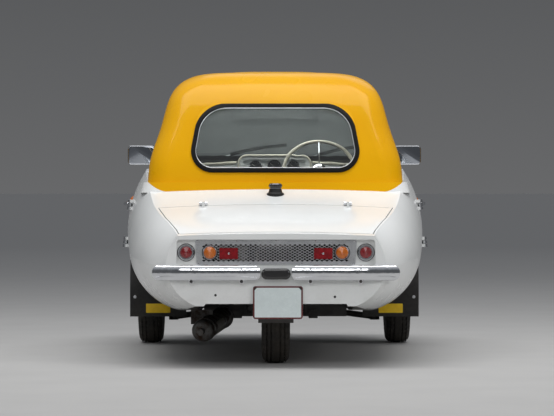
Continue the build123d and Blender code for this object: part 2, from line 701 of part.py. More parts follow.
def tyre(hub):
    half, r = TYRE_HALF, TYRE_R
    right = [(r, half - 34), (r - 4, half - 20), (r - 22, half - 4), (r - 52, half), (RIM_R + 14, half - 3), (RIM_R, half - 8)]
    left = [(radius, -x) for radius, x in reversed(right)]
    return lathe(right + left, hub, (1, 0, 0))


def rim(hub, bore, hub_from, hub_to):
    """A pressed steel wheel about the X axis, with its dish on the right."""
    barrel = [(RIM_R, -54), (RIM_R, 54), (RIM_R - 4, 54), (RIM_R - 12, 40), (RIM_R - 16, 22), (RIM_R - 16, -30)]
    barrel += [(RIM_R - 6, -50), (RIM_R - 4, -54)]
    disc = [(bore, 6), (40, 6), (56, 22), (88, 26), (112, 12), (114, 18), (92, 31), (54, 28), (bore, 14)]
    wheel = lathe(barrel, hub, (1, 0, 0)) + lathe(disc, hub, (1, 0, 0))
    wheel += lathe([(bore, hub_from), (34, hub_from), (34, hub_to), (bore, hub_to)], hub, (1, 0, 0))
    return one(wheel)


def hub_cap(hub):
    """A domed cap on the right front wheel's dish."""
    profile = [(34, 28), (56, 28.5), (52, 42), (36, 54), (0, 58), (0, 54), (32, 50), (34, 40)]
    return lathe(profile, hub, (1, 0, 0))


def write(name, shape):
    export_step(shape, f"parts/{name}.step")


def main():
    roof_shell, facia = roof(), dashboard()
    front_hub, rear_hub = (HUB_X, FRONT_AXLE_Y, TYRE_R), (0, REAR_AXLE_Y, TYRE_R)
    middle = {
        "body_rear": body_rear(),
        "body_front": body_front(),
        "front_bulkhead": front_bulkhead(),
        "floor_tub": floor_tub(),
        "roof": roof_shell,
        "window_seals": window_seals(roof_shell),
        "fixed_glass": fixed_glass(),
        "engine_lid": engine_lid(),
        "chassis_frame": chassis_frame(),
        "swing_arm": swing_arm(),
        "rear_mudguard": rear_mudguard(),
        "front_suspension": front_suspension(),
        "track_rod": track_rod(),
        "steering_column": steering_column(facia),
        "steering_wheel": steering_wheel(),
        "dashboard": facia,
        "seats": seats(),
        "seat_base": seat_base(),
        "engine": engine(),
        "exhaust": exhaust(),
        "fuel_filler": fuel_filler(),
        "rear_grille": rear_grille(),
        "front_grille": front_grille(),
        "lamp_rims": lamp_rims(),
        "tail_lamps": tail_lamps(),
        "indicator_lamps": indicator_lamps(),
        "headlamp_rims": headlamp_rims(),
        "headlamp_lenses": headlamp_lenses(),
        "bumpers": bumpers(),
        "number_plate": number_plate(),
        "plate_lamp": plate_lamp(),
        "mirrors": mirrors(),
        "mudflaps": mudflaps(),
        "tyre_rear": tyre(rear_hub),
        "rim_rear": rim(rear_hub, REAR_AXLE_R + BORE_GAP, 22 - ARM_X, ARM_X - 22),
    }
    right_side = {
        "door": door_panel(),
        "door_frame": door_frame(),
        "door_glass": door_glass(),
        "door_handle": door_handle(),
        "knuckle": knuckle(),
        "tyre": tyre(front_hub),
        "rim": one(rim(front_hub, STUB_R + BORE_GAP, 2 - RIM_HALF, 22) + hub_cap(front_hub)),
    }
    for name, shape in middle.items():
        write(name, shape)
    for name, shape in right_side.items():
        write(f"{name}_right", shape)
        write(f"{name}_left", mirrored(shape))


main()
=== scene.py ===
"""Dresses the three wheeled car with materials, trim, seats, tyres, a studio and a camera, in metres."""

import json
from math import acos, copysign, cos, exp, pi, radians, sin, sqrt

import bmesh
import bpy
from mathutils import Matrix, Vector
from mathutils.bvhtree import BVHTree


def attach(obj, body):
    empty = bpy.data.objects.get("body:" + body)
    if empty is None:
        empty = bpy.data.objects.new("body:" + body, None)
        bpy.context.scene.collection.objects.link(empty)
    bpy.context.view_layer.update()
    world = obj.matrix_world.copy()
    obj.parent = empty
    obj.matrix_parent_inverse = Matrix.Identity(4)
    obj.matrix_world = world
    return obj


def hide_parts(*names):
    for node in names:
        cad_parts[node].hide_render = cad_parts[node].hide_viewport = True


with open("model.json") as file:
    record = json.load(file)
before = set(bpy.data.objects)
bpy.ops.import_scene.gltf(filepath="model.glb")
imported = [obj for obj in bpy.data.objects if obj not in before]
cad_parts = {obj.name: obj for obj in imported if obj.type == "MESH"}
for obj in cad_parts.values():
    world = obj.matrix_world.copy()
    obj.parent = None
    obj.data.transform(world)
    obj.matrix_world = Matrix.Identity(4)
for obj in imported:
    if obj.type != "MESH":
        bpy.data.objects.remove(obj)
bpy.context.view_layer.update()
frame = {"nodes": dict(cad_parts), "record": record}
nodes = frame["nodes"]

SIDES = ((1, "right"), (-1, "left"))
BOTH = (-1, 1)
UP, DOWN, AHEAD, REARWARD, ACROSS = (0, 0, 1), (0, 0, -1), (0, 1, 0), (0, -1, 0), (1, 0, 0)
FAR = 3.0  # lines that look for a surface start this far off
TAIL_Y = -1.415
TRAY_Y = -1.393
REAR_AXLE = Vector((0, -1.02, 0.24))
FRONT_AXLE_Y = 0.78
HUB_X = 0.61
WHEEL_R = 0.24
KINGPIN_X = 0.5
STEER_HUB = Vector((0.213, 0.13, 0.848))
STEER_AXIS = Vector((0, -0.819, 0.574))
RED_LAMP = (0.383, 0.491)
AMBER_LAMP = (0.282, 0.49)
PLATE = (-0.098, 0.114, 0.208, 0.348)
FLAP_Y = 0.465
FILLER_Y = -0.812
DOOR_HINGE_Y = -0.435
DOOR_SIDE_X = 0.3  # inside the cabin, where lines towards the doors start
WIPER_Z = 0.905
REAR_WINDOW = [(-0.391, 0.842), (0.391, 0.842), (0.339, 1.144), (-0.339, 1.144)]
WINDOW_CORNERS = (0.092, 0.092, 0.14, 0.14)
SEAL_EDGE = 0.0072  # black rubber shows this far outside the rear window's opening
PANE_DEPTH = 0.012  # from the rubber's face in to the glass
HEADLINING = [
    # z, rear y, front y, half width, inset
    (1.205, -0.484, 0.312, 0.466, 0.036),
    (1.244, -0.412, 0.232, 0.405, 0.046),
    (1.272, -0.32, 0.14, 0.3, 0.06),
]
CUSHION = ((0.047, -0.258, 0.35), (0.488, 0.118, 0.455))
CUSHION_SPACE = ((0.036, -0.269, 0.3403), (0.499, 0.129, 0.4648))
BACK_REST = ((0.047, -0.328, 0.35), (0.488, -0.286, 0.78))
BACK_SPACE = ((0.036, -0.4, 0.3403), (0.499, -0.26, 0.7898))
BACK_LEAN = -0.078
FOCAL_PIXELS = 3032
PICTURE_WIDTH = 554
SENSOR = 36  # mm


def window_corner(i):
    """A corner arc of the rear window: its centre, its two directions and half the corner's angle."""
    here, back, ahead = (Vector(REAR_WINDOW[k % 4]) for k in (i, i - 1, i + 1))
    a, b = (back - here).normalized(), (ahead - here).normalized()
    half = acos(a.dot(b)) / 2
    bisector = (a + b).normalized()
    across = (b - bisector * b.dot(bisector)).normalized()
    return here + bisector * (WINDOW_CORNERS[i] / sin(half)), bisector, across, half


# Colours and materials


def shown(red, green, blue):
    """A display colour from 0 to 255 as linear light."""
    values = [c / 255 for c in (red, green, blue)]
    return tuple(c / 12.92 if c <= 0.04045 else ((c + 0.055) / 1.055) ** 2.4 for c in values)


def dimmed(colour, share):
    return tuple(c * share for c in colour)


class Surface:
    """A principled material whose colour, roughness and bump come from textures in object space."""

    def __init__(self, name, **settings):
        self.material = bpy.data.materials.new(name)
        self.material.use_nodes = True
        self.tree = self.material.node_tree
        self.shader = self.tree.nodes["Principled BSDF"]
        self.where = self.add("TexCoord").outputs["Object"]
        self.x, self.y, self.z = self.split(self.where)
        for key, value in settings.items():
            self.shader.inputs[key.replace("_", " ")].default_value = value

    def put(self, socket, value):
        if isinstance(value, bpy.types.NodeSocket):
            self.tree.links.new(value, socket)
        else:
            socket.default_value = value

    def add(self, kind, values=None, **options):
        node = self.tree.nodes.new("ShaderNode" + kind)
        for key, value in options.items():
            setattr(node, key, value)
        for key, value in (values or {}).items():
            self.put(node.inputs[key], value)
        return node

    def split(self, vector):
        return self.add("SeparateXYZ", {0: vector}).outputs[:]

    def normal(self):
        return self.add("NewGeometry").outputs["Normal"]

    def math(self, operation, first, second=0.0):
        return self.add("Math", {0: first, 1: second}, operation=operation).outputs[0]

    def product(self, *values):
        total = values[0]
        for value in values[1:]:
            total = self.math("MULTIPLY", total, value)
        return total

    def below(self, value, limit):
        return self.math("LESS_THAN", value, limit)

    def above(self, value, limit):
        return self.math("GREATER_THAN", value, limit)

    def size(self, value):
        return self.math("ABSOLUTE", value)

    def reach(self, across, up):
        """The length of the diagonal over two legs."""
        return self.math("SQRT", self.math("ADD", self.product(across, across), self.product(up, up)))

    def noise(self, scale, detail=3.0, stretch=(1, 1, 1), rough=0.5):
        place = self.add("VectorMath", {0: self.where, 1: stretch}, operation="MULTIPLY").outputs[0]
        values = {"Vector": place, "Scale": scale, "Detail": detail, "Roughness": rough}
        return self.add("TexNoise", values).outputs[0]

    def cells(self, scale):
        return self.add("TexVoronoi", {"Vector": self.where, "Scale": scale}).outputs["Distance"]

    def spread(self, value, low, high, first=0.0, last=1.0):
        values = {"Value": value, "From Min": low, "From Max": high, "To Min": first, "To Max": last}
        return self.add("MapRange", values).outputs[0]

    def patches(self, scale, detail, first=0.0, last=1.0, low=0.3, high=0.7, rough=0.5):
        """Values from first to last in soft patches."""
        return self.spread(self.noise(scale, detail, rough=rough), low, high, first, last)

    def mix(self, factor, first, second):
        node = self.add("Mix", {0: factor}, data_type="RGBA")
        for index, tone in ((6, first), (7, second)):
            self.put(node.inputs[index], tone if isinstance(tone, bpy.types.NodeSocket) else (*tone, 1))
        return node.outputs[2]

    def colour(self, value):
        self.put(self.shader.inputs["Base Color"], value)

    def roughness(self, value):
        self.put(self.shader.inputs["Roughness"], value)

    def bump(self, height, strength, distance):
        node = self.add("Bump", {"Height": height, "Strength": strength, "Distance": distance})
        self.put(self.shader.inputs["Normal"], node.outputs[0])


DUST = shown(120, 108, 92)
YELLOW = shown(232, 171, 1)
WHITE = shown(240, 241, 240)
YELLOW_GLINT = (1, 0.82, 0.3, 1)
# black inside the tail, and painted shade under the body
BLACK_AND_SHADE = (0.012, 0.012, 0.012)
SHADOW = (0.05, 0.05, 0.048)


def dusted(s, base, amount, top, bottom):
    """The base colour with road dust that grows towards the ground, and the dust's mask."""
    mask = s.product(s.spread(s.z, top, bottom), s.patches(9, 6, 0.25, 1.0, 0.38, 0.66, 0.65), amount)
    return s.mix(mask, base, DUST), mask


def engine_bay(s, tone):
    """Black inside the tail and on its bulkhead, and painted shade under the body, where faces that look down
    turn black. The lid's shut faces stay white.
    """
    middle_z, bay_top, sill_z = 0.45, 0.692, 0.29
    bulkhead_y, bulkhead_face, bay_y, tray_back = -0.44, -0.425, -0.715, -1.3835
    lid_half, lid_low = 0.52, 0.555
    across, along, up = s.split(s.normal())
    lift = s.product(up, s.math("SUBTRACT", s.z, middle_z))
    inward = s.below(s.math("ADD", s.product(across, s.x), lift), -0.004)
    low = s.below(s.z, bay_top)
    tail = s.math("MAXIMUM", s.product(s.below(s.y, bulkhead_y), low), s.below(s.y, bay_y))
    shut_face = s.product(s.below(s.size(up), 0.25), s.above(s.z, lid_low), s.below(s.size(s.x), lid_half))
    inside = s.product(inward, tail, s.above(s.y, tray_back), s.math("SUBTRACT", 1.0, shut_face))
    wall = s.product(s.below(s.y, bulkhead_face), s.above(s.y, bulkhead_y), s.below(along, -0.5), low)
    # painted shade: faces that look down, low under the body, are made black
    under = s.product(s.below(up, -0.93), s.below(s.z, sill_z))
    return s.mix(s.math("MAXIMUM", s.math("MAXIMUM", inside, wall), under), tone, BLACK_AND_SHADE)


def skirt_line(s, tone):
    """Yellow above the roof's skirt, whose line rises round each rear corner, white below it, and painted
    shadow on its inner faces.
    """
    flat_half, run, climb, low_z, high_z = 0.49, 0.08, 0.04, 0.75, 0.8
    beyond = s.math("MAXIMUM", s.math("SUBTRACT", s.size(s.x), flat_half), 0.0)
    rise = s.product(s.math("POWER", s.math("DIVIDE", beyond, run), 1.7), climb)
    line = s.math("MINIMUM", s.math("ADD", rise, low_z), high_z)
    outward = s.add("VectorMath", {0: s.where, 1: (0.0, 0.05, -0.55)}, operation="ADD").outputs[0]
    facing_out = s.add("VectorMath", {0: s.normal(), 1: outward}, operation="DOT_PRODUCT")
    # painted shadow: faces that turn in towards the cabin are made dark
    inner = s.below(facing_out.outputs["Value"], -0.02)
    return s.mix(inner, s.mix(s.below(s.z, line), tone, WHITE), SHADOW)


def upper_corners(s, tone):
    """Yellow outside the round upper corners of the rear window."""
    middle = window_corner(2)[0]
    out, up = s.math("SUBTRACT", s.size(s.x), middle.x), s.math("SUBTRACT", s.z, middle.y)
    beyond = s.above(s.reach(out, up), WINDOW_CORNERS[2] + SEAL_EDGE)
    corner = s.product(beyond, s.above(out, 0.0), s.above(up, 0.0), s.below(s.y, 0.0))
    return s.mix(corner, tone, YELLOW)


def paint(name, light, shade, roughness, gloss, area=None, glint=(1, 1, 1, 1)):
    s = Surface(name, Coat_Weight=gloss, Coat_Roughness=0.05, IOR=1.45, Specular_IOR_Level=gloss)
    s.shader.inputs["Specular Tint"].default_value = glint
    tone = s.mix(s.patches(2.1, 3, low=0.35, high=0.65), light, shade)
    if area:
        tone = area(s, tone)
    speck = s.patches(160, 4, 0.0, 0.12, 0.68, 0.76, 0.7)
    tone, mask = dusted(s, s.mix(speck, tone, dimmed(shade, 0.82)), amount=0.3, top=0.44, bottom=0.2)
    s.colour(tone)
    worn = s.patches(5, 1, roughness - 0.01, roughness + 0.03)
    s.roughness(s.math("ADD", worn, s.product(mask, 0.8)))
    s.bump(s.noise(70, 1), 0.04, 0.0004)
    return s.material


def varied(name, tone, shade, patch, worn, grain, dust=None, area=None, **settings):
    """Two tones in patches, with dust, uneven gloss and a grain: its scale, detail, strength and depth."""
    s = Surface(name, **settings)
    base = s.mix(s.patches(*patch), tone, shade)
    if dust:
        base = dusted(s, base, *dust)[0]
    s.colour(area(s, base) if area else base)
    s.roughness(s.patches(*worn))
    scale, detail, strength, depth = grain
    s.bump(s.noise(scale, detail), strength, depth)
    return s.material


def rubber(name, tone, roughness, dust, area=None, shine=0.35):
    worn = (90, 3, roughness - 0.07, roughness + 0.09)
    return varied(name, (tone, tone, tone * 1.04), (tone * 1.7,) * 3, (60, 5), worn, (900, 3, 0.35, 0.0005),
                  (dust, 0.55, 0.02), area, Specular_IOR_Level=shine)


def matt(name, tone, shade, roughness, scale=300, depth=0.3):
    worn = (scale / 4, 3, roughness - 0.06, roughness + 0.06)
    return varied(name, tone, shade, (scale / 8, 4), worn, (scale, 3, depth, 0.0005))


def metal(name, tone, shade, low, high, scale, depth, stretch=(1, 1, 1)):
    s = Surface(name, Metallic=1.0)
    grain = s.noise(scale, 5, stretch)
    s.colour(s.mix(s.patches(14, 4), tone, shade))
    s.roughness(s.spread(grain, 0.3, 0.7, low, high))
    s.bump(grain, depth, 0.0004)
    return s.material


def glass(name, tint, smear):
    s = Surface(name, Transmission_Weight=1.0, IOR=1.45, Specular_IOR_Level=0.5)
    s.colour(s.mix(s.patches(3, 2), tint, dimmed(tint, 0.97)))
    s.roughness(s.patches(11, 5, 0.0, smear, 0.5, 0.8))
    return s.material


def lens(name, deep, bright, middle):
    """Moulded lens plastic with rings about the lamp's middle (x, z)."""
    waves, rings_r = 1150, 0.045
    s = Surface(name, Transmission_Weight=0.15, Coat_Weight=0.9, Coat_Roughness=0.03, IOR=1.49)
    reach = s.reach(s.math("SUBTRACT", s.size(s.x), middle[0]), s.math("SUBTRACT", s.z, middle[1]))
    s.colour(s.mix(s.patches(90, 3), deep, bright))
    s.roughness(s.patches(60, 3, 0.06, 0.16))
    s.bump(s.product(s.math("SINE", s.product(reach, waves)), s.below(reach, rings_r)), 0.6, 0.0009)
    return s.material


def vinyl(name, tone, shade):
    s = Surface(name, Sheen_Weight=0.12, Coat_Weight=0.08, Coat_Roughness=0.4)
    grain = s.product(s.cells(900), s.cells(430))
    s.colour(s.mix(s.spread(grain, 0.0, 0.35), shade, tone))
    s.roughness(s.patches(24, 4, 0.4, 0.56))
    s.bump(grain, 0.55, 0.0006)
    return s.material


materials = {
    "white_paint": paint("white_gloss", WHITE, shown(233, 235, 234), 0.2, 0.35, engine_bay),
    "yellow_paint": paint("yellow_gloss", YELLOW, shown(226, 163, 1), 0.26, 0.18, skirt_line, YELLOW_GLINT),
    "black_rubber": rubber("black_rubber", 0.01, 0.55, 0.1),
    "tyre": rubber("tyre_rubber", 0.012, 0.8, 0.22),
    "glass": glass("window_glass", (0.76, 0.81, 0.79), 0.02),
    "aluminium": metal("brushed_aluminium", (0.72, 0.73, 0.75), (0.6, 0.61, 0.63), 0.24, 0.42, 70, 0.1,
                       (1, 30, 30)),
    "chrome": metal("polished_chrome", (0.78, 0.79, 0.81), (0.7, 0.71, 0.74), 0.05, 0.13, 45, 0.03),
    "black_steel": varied("black_steel_paint", (0.012, 0.012, 0.013), shown(52, 38, 30),
                          (22, 6, 0.0, 0.6, 0.56, 0.7, 0.7), (50, 4, 0.38, 0.62), (260, 4, 0.25, 0.0006),
                          (0.18, 0.6, 0.05), Coat_Weight=0.15, Coat_Roughness=0.3),
    "wheel_rim": matt("ivory_plastic", shown(226, 220, 202), shown(214, 207, 188), 0.28, 240, 0.08),
    "upholstery": vinyl("grained_vinyl", (0.028, 0.028, 0.031), (0.01, 0.01, 0.012)),
    "cast_metal": varied("sand_cast_alloy", (0.36, 0.36, 0.35), (0.12, 0.11, 0.1),
                         (18, 6, 0.0, 1.0, 0.4, 0.7), (120, 3, 0.45, 0.7), (520, 4, 0.6, 0.001),
                         Metallic=0.85),
    "exhaust_steel": varied("heat_stained_steel", (0.085, 0.083, 0.08), shown(58, 42, 32),
                            (26, 7, 0.0, 1.0, 0.46, 0.62, 0.7), (26, 7, 0.42, 0.82, 0.46, 0.62, 0.7),
                            (310, 5, 0.35, 0.0008), Metallic=0.75),
    "red_lens": lens("red_lens", (0.2, 0.001, 0.004), (0.36, 0.003, 0.01), RED_LAMP),
    "amber_lens": lens("amber_lens", (0.62, 0.13, 0.003), (0.8, 0.2, 0.005), AMBER_LAMP),
    "clear_lens": glass("fluted_lens", (0.95, 0.97, 0.97), 0.08),
    "plate": matt("plate_enamel", shown(224, 234, 234), shown(216, 226, 226), 0.26, 200, 0.06),
    "dark_trim": matt("dark_trim", (0.012, 0.012, 0.013), (0.022, 0.022, 0.022), 0.42),
    "rim_paint": matt("rim_enamel", shown(206, 206, 202), shown(186, 186, 182), 0.34, 160, 0.12),
}
gloss_black = paint("gloss_black", (0.008, 0.008, 0.01), (0.012, 0.012, 0.014), 0.18, 0.6)
border_red = matt("plate_border", shown(104, 26, 26), shown(84, 20, 20), 0.4)
label_yellow = matt("flap_label", shown(246, 204, 26), shown(232, 188, 22), 0.5)
seal_rubber = rubber("seal_rubber", 0.003, 0.5, 0.02, upper_corners, 0.12)
label_pale = matt("can_label", shown(128, 126, 120), shown(104, 100, 92), 0.6)
mirror_shell = metal("mirror_shell", (0.4, 0.41, 0.43), (0.34, 0.35, 0.37), 0.1, 0.2, 45, 0.03)
mirror_glass = metal("mirror_silver", (0.5, 0.53, 0.58), (0.46, 0.49, 0.54), 0.01, 0.05, 20, 0.0)
headlining = matt("headlining", shown(214, 210, 198), shown(202, 197, 184), 0.75, 420, 0.4)
dial_black = matt("dial_face", (0.01, 0.01, 0.011), (0.016, 0.016, 0.017), 0.35)
dial_white = matt("dial_marks", shown(220, 220, 210), shown(205, 205, 196), 0.5)

for part in frame["record"]["subparts"]:
    for held in nodes[part["node"]].material_slots:
        held.material = materials[part["material_slot"]]
nodes["plate_lamp"].material_slots[0].material = gloss_black
nodes["window_seals"].material_slots[0].material = seal_rubber
nodes["mirrors"].material_slots[0].material = mirror_shell


# Mesh code


def blanks(count):
    return [bmesh.new() for _ in range(count)]


def merge(target, source, matrix=None):
    """Adds one mesh under construction to another and frees it."""
    if matrix is not None:
        bmesh.ops.transform(source, matrix=matrix, verts=source.verts)
    made = {v: target.verts.new(v.co) for v in source.verts}
    for face in source.faces:
        target.faces.new([made[v] for v in face.verts])
    source.free()


def facing(origin, direction, up=UP):
    """The matrix that takes local Z along direction and local Y near up."""
    z = Vector(direction).normalized()
    x = Vector(up).cross(z)
    if x.length < 1e-4:
        x = Vector(ACROSS)
    x.normalize()
    return Matrix.Translation(Vector(origin)) @ Matrix((x, z.cross(x), z)).transposed().to_4x4()


def polar(radius, angle, height=0.0):
    return Vector((radius * cos(angle), radius * sin(angle), height))


def mm(*values):
    """Points from their two coordinates in millimetres."""
    return [(a / 1000, b / 1000) for a, b in zip(values[::2], values[1::2])]


def spaced(first, last, count):
    """Values from first to last in count equal steps."""
    return [first + (last - first) * i / count for i in range(count + 1)]


def circle(count):
    """Angles once round."""
    return spaced(0, 2 * pi, count)[:-1]


def row(bm, points):
    return [bm.verts.new(p) for p in points]


def skin(bm, rows, closed=True, ends=False):
    """Faces between each row of vertices and the next. A row may be one vertex repeated. Ends puts a face on
    the first row and on the last."""
    for first, second in zip(rows, rows[1:]):
        for i in range(len(first) if closed else len(first) - 1):
            j = (i + 1) % len(first)
            bm.faces.new(list(dict.fromkeys((first[i], first[j], second[j], second[i]))))
    if ends:
        bm.faces.new(rows[0])
        bm.faces.new(list(reversed(rows[-1])))


def turned(bm, profile, matrix, segments=32):
    """(radius, height) points turned about local Z: a closed ring unless the profile meets the axis."""
    part = bmesh.new()
    rows = []
    for radius, height in profile:
        if radius:
            rows.append(row(part, [polar(radius, a, height) for a in circle(segments)]))
        else:
            rows.append([part.verts.new((0, 0, height))] * segments)
    ring = all(radius for radius, _ in profile)
    skin(part, rows + rows[:1] if ring else rows)
    merge(bm, part, matrix)


def block(bm, low, high, bevel, steps=2, matrix=None):
    part = bmesh.new()
    bmesh.ops.create_cube(part, size=1)
    low, high = Vector(low), Vector(high)
    fit = Matrix.Translation((low + high) / 2) @ Matrix.Diagonal((*(high - low), 1))
    bmesh.ops.transform(part, matrix=fit, verts=part.verts)
    bmesh.ops.bevel(part, geom=part.edges[:], offset=bevel, segments=steps, profile=0.6, affect="EDGES")
    merge(bm, part, matrix)


def tube(bm, points, radius, segments=12, closed=False, flat=1.0, up=UP):
    """A bar of round or flattened section along points."""
    points = [Vector(p) for p in points]
    count = len(points)
    part = bmesh.new()
    rows = []
    normal = Vector(up)
    for i, point in enumerate(points):
        if closed:
            along = points[(i + 1) % count] - points[i - 1]
        else:
            along = points[min(i + 1, count - 1)] - points[max(i - 1, 0)]
        along.normalize()
        normal = (normal - along * normal.dot(along)).normalized()
        side = along.cross(normal)
        size = radius[i] if isinstance(radius, (list, tuple)) else radius
        rows.append(row(part, [point + normal * (size * flat * sin(a)) + side * (size * cos(a))
                               for a in circle(segments)]))
    skin(part, rows + rows[:1] if closed else rows, ends=not closed)
    merge(bm, part)


def hexagon(bm, origin, direction, across, height):
    """A hexagon head with a chamfered crown on a washer."""
    r = across / sqrt(3)
    place = facing(origin, direction)
    turned(bm, [(0, 0), (r, 0), (r, height * 0.8), (r * 0.84, height), (0, height)], place, 6)
    turned(bm, [(r * 0.5, 0.0), (r * 1.35, 0.0), (r * 1.3, height * 0.2), (r * 0.5, height * 0.2)], place, 24)


def screw(bm, origin, direction, radius):
    """A slotted screw with a raised head."""
    place = facing(origin, direction)
    head = ((0, -0.2), (1, -0.2), (1, 0.1), (0.7, 0.38), (0, 0.46))
    turned(bm, [(radius * out, radius * up) for out, up in head], place, 20)
    low, high = (Vector(corner) * radius for corner in ((-0.8, -0.1, 0.3), (0.8, 0.1, 0.5)))
    block(bm, low, high, radius * 0.05, 1, place)


def placed(name, data):
    """A new object in the scene."""
    obj = bpy.data.objects.new(name, data)
    bpy.context.scene.collection.objects.link(obj)
    return obj


def finished(name, bm):
    """The mesh of what was under construction, which is freed."""
    mesh = bpy.data.meshes.new(name)
    bm.to_mesh(mesh)
    bm.free()
    return mesh


def piece(name, bm, slot, material=None, body="body", replaces=(), angle=35):
    bmesh.ops.recalc_face_normals(bm, faces=bm.faces[:])
    mesh = finished(name, bm)
    obj = placed(name, mesh)
    mesh.materials.append(material or materials[slot])
    mesh.shade_smooth()
    mesh.set_sharp_from_angle(angle=radians(angle))
    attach(obj, body)
    if replaces:
        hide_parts(*replaces)


trees = {}


def touch(node, origin, direction):
    """Where a line first meets a node's surface, and the surface's direction there."""
    if node not in trees:
        mesh = nodes[node].data
        trees[node] = BVHTree.FromPolygons([v.co for v in mesh.vertices], [p.vertices for p in mesh.polygons])
    return trees[node].ray_cast(Vector(origin), Vector(direction).normalized())[:2]


def hits(names, origin, direction):
    """The surfaces of some nodes that a line meets."""
    found = [touch(node, origin, direction) for node in names]
    return [hit for hit in found if hit[0] is not None]


def rounded(x0, x1, z0, z1, radius, steps=6):
    """(x, z) points of a rectangle with round corners."""
    points = []
    for cx, cz, start in ((x1 - radius, z1 - radius, 0), (x0 + radius, z1 - radius, 90),
                          (x0 + radius, z0 + radius, 180), (x1 - radius, z0 + radius, 270)):
        for a in spaced(radians(start), radians(start + 90), steps):
            points.append((cx + radius * cos(a), cz + radius * sin(a)))
    return points


def plate(bm, outline, y0, y1, bevel):
    """An (x, z) outline extruded from y0 to y1."""
    part = bmesh.new()
    skin(part, [row(part, [(x, y, z) for x, z in outline]) for y in (y0, y1)], ends=True)
    rims = [e for e in part.edges if abs(e.verts[0].co.y - e.verts[1].co.y) < 1e-7]
    bmesh.ops.bevel(part, geom=rims, offset=bevel, segments=2, profile=0.6, affect="EDGES")
    merge(bm, part)


# Tyres


def tyre(name, centre, body):
    """A narrow cross ply tyre with zigzag ribs, shoulder blocks and ringed sidewalls."""
    turns, pitch, notch = 264, 6, 2
    inner_x, crown = -0.02, 0.0035
    grooves, groove_half, groove_depth, zigzag = (0.0382, 0.0198), 0.002, 0.0052, 0.0017
    centre_rib, shoulder_x, shoulder_r = 0.004, 0.039, 0.224
    side = mm(127.5, 53, 130, 57.5, 139, 59.2, 148, 60.2, 151, 61.4, 155, 60.2, 168, 61.2, 172, 62, 178, 62,
              182, 61, 198, 60.4, 212, 58.8, 220, 57, 226.5, 53, 231.5, 47)
    bead = side[0][0]
    tread = [x / 1000 for x in (45, 41.5, 40, 36.5, 34.5, 29, 23.5, 21.5, 18, 16, 11, 5.5, 0)]
    rows = [(r, x, False) for r, x in side]
    rows += [(WHEEL_R - crown * (x / tread[0]) ** 2, x, True) for x in tread]
    rows += [(r, -x, treaded) for r, x, treaded in reversed(rows[:-1])]
    bm = bmesh.new()
    rings = []
    for radius, x, treaded in rows:
        ring = []
        for i, angle in enumerate(circle(turns)):
            r, shift = radius, x
            if treaded:
                if any(abs(abs(x) - groove) < groove_half for groove in grooves):
                    r -= groove_depth
                    shift += zigzag if i % pitch < pitch / 2 else -zigzag
                if abs(x) < centre_rib and i % 3 == 0:
                    r -= 0.003
                if abs(x) > shoulder_x and i % pitch < notch:
                    r -= 0.004
            elif radius > shoulder_r and i % pitch < notch:
                r -= 0.0028
            ring.append((shift, r * cos(angle), r * sin(angle)))
        rings.append(row(bm, ring))
    rings.append(row(bm, [(inner_x, bead * cos(a), bead * sin(a)) for a in circle(turns)]))
    skin(bm, rings + rings[:1])
    bmesh.ops.translate(bm, vec=Vector(centre), verts=bm.verts)
    piece(name, bm, "tyre", body=body, replaces=(name.replace("road_", ""),), angle=28)


def wheel_nuts():
    """Four nuts and a tyre valve on each front wheel."""
    nut_circle, nut_x = 0.074, 0.028
    for side, tag in SIDES:
        bm = bmesh.new()
        for k in range(4):
            at = polar(nut_circle, radians(45 + 90 * k))
            centre = (side * (HUB_X + nut_x), FRONT_AXLE_Y + at.x, WHEEL_R + at.y)
            hexagon(bm, centre, (side, 0, 0), 0.017, 0.011)
        valve = [(side * (HUB_X + x), FRONT_AXLE_Y, WHEEL_R + z) for x, z in mm(36, 112, 58, 108)]
        tube(bm, valve, 0.0035)
        piece(f"wheel_nuts_{tag}", bm, "chrome", body=f"{tag}_wheel")


for side, tag in SIDES:
    tyre(f"road_tyre_{tag}", (side * HUB_X, FRONT_AXLE_Y, WHEEL_R), f"{tag}_wheel")
tyre("road_tyre_rear", REAR_AXLE, "rear_wheel")
wheel_nuts()


# Tail


def tail_trim():
    """Screws through the grille's frame, the reflectors and the lamps, and a gasket behind each lamp."""
    frame_rows = ((0.5405, (-0.336, -0.168, 0.0, 0.168, 0.336)), (0.4425, (-0.331, -0.11, 0.11, 0.331)))
    lamps = ((RED_LAMP, 0.031, 0.0375), (AMBER_LAMP, 0.027, 0.0335))
    frame_face, reflector_face, lamp_face = TRAY_Y - 0.0042, TRAY_Y - 0.0142, TRAY_Y - 0.0122
    screws, gaskets = blanks(2)
    for z, places in frame_rows:
        for x in places:
            screw(screws, (x, frame_face, z), REARWARD, 0.0036)
    for side in BOTH:
        screw(screws, (side * 0.2015, reflector_face, 0.4865), REARWARD, 0.0046)
        for (x, z), screw_circle, r in lamps:
            for a in (30, 210):
                at = polar(screw_circle, radians(a))
                screw(screws, (side * x + at.x, lamp_face, z + at.y), REARWARD, 0.0026)
            profile = [(r - 0.004, 0), (r, 0), (r + 0.0006, 0.003), (r - 0.0005, 0.0065), (r - 0.004, 0.0065)]
            turned(gaskets, profile, facing((side * x, TRAY_Y, z), REARWARD), 40)
    piece("tail_screws", screws, "chrome")
    piece("lamp_gaskets", gaskets, "black_rubber")


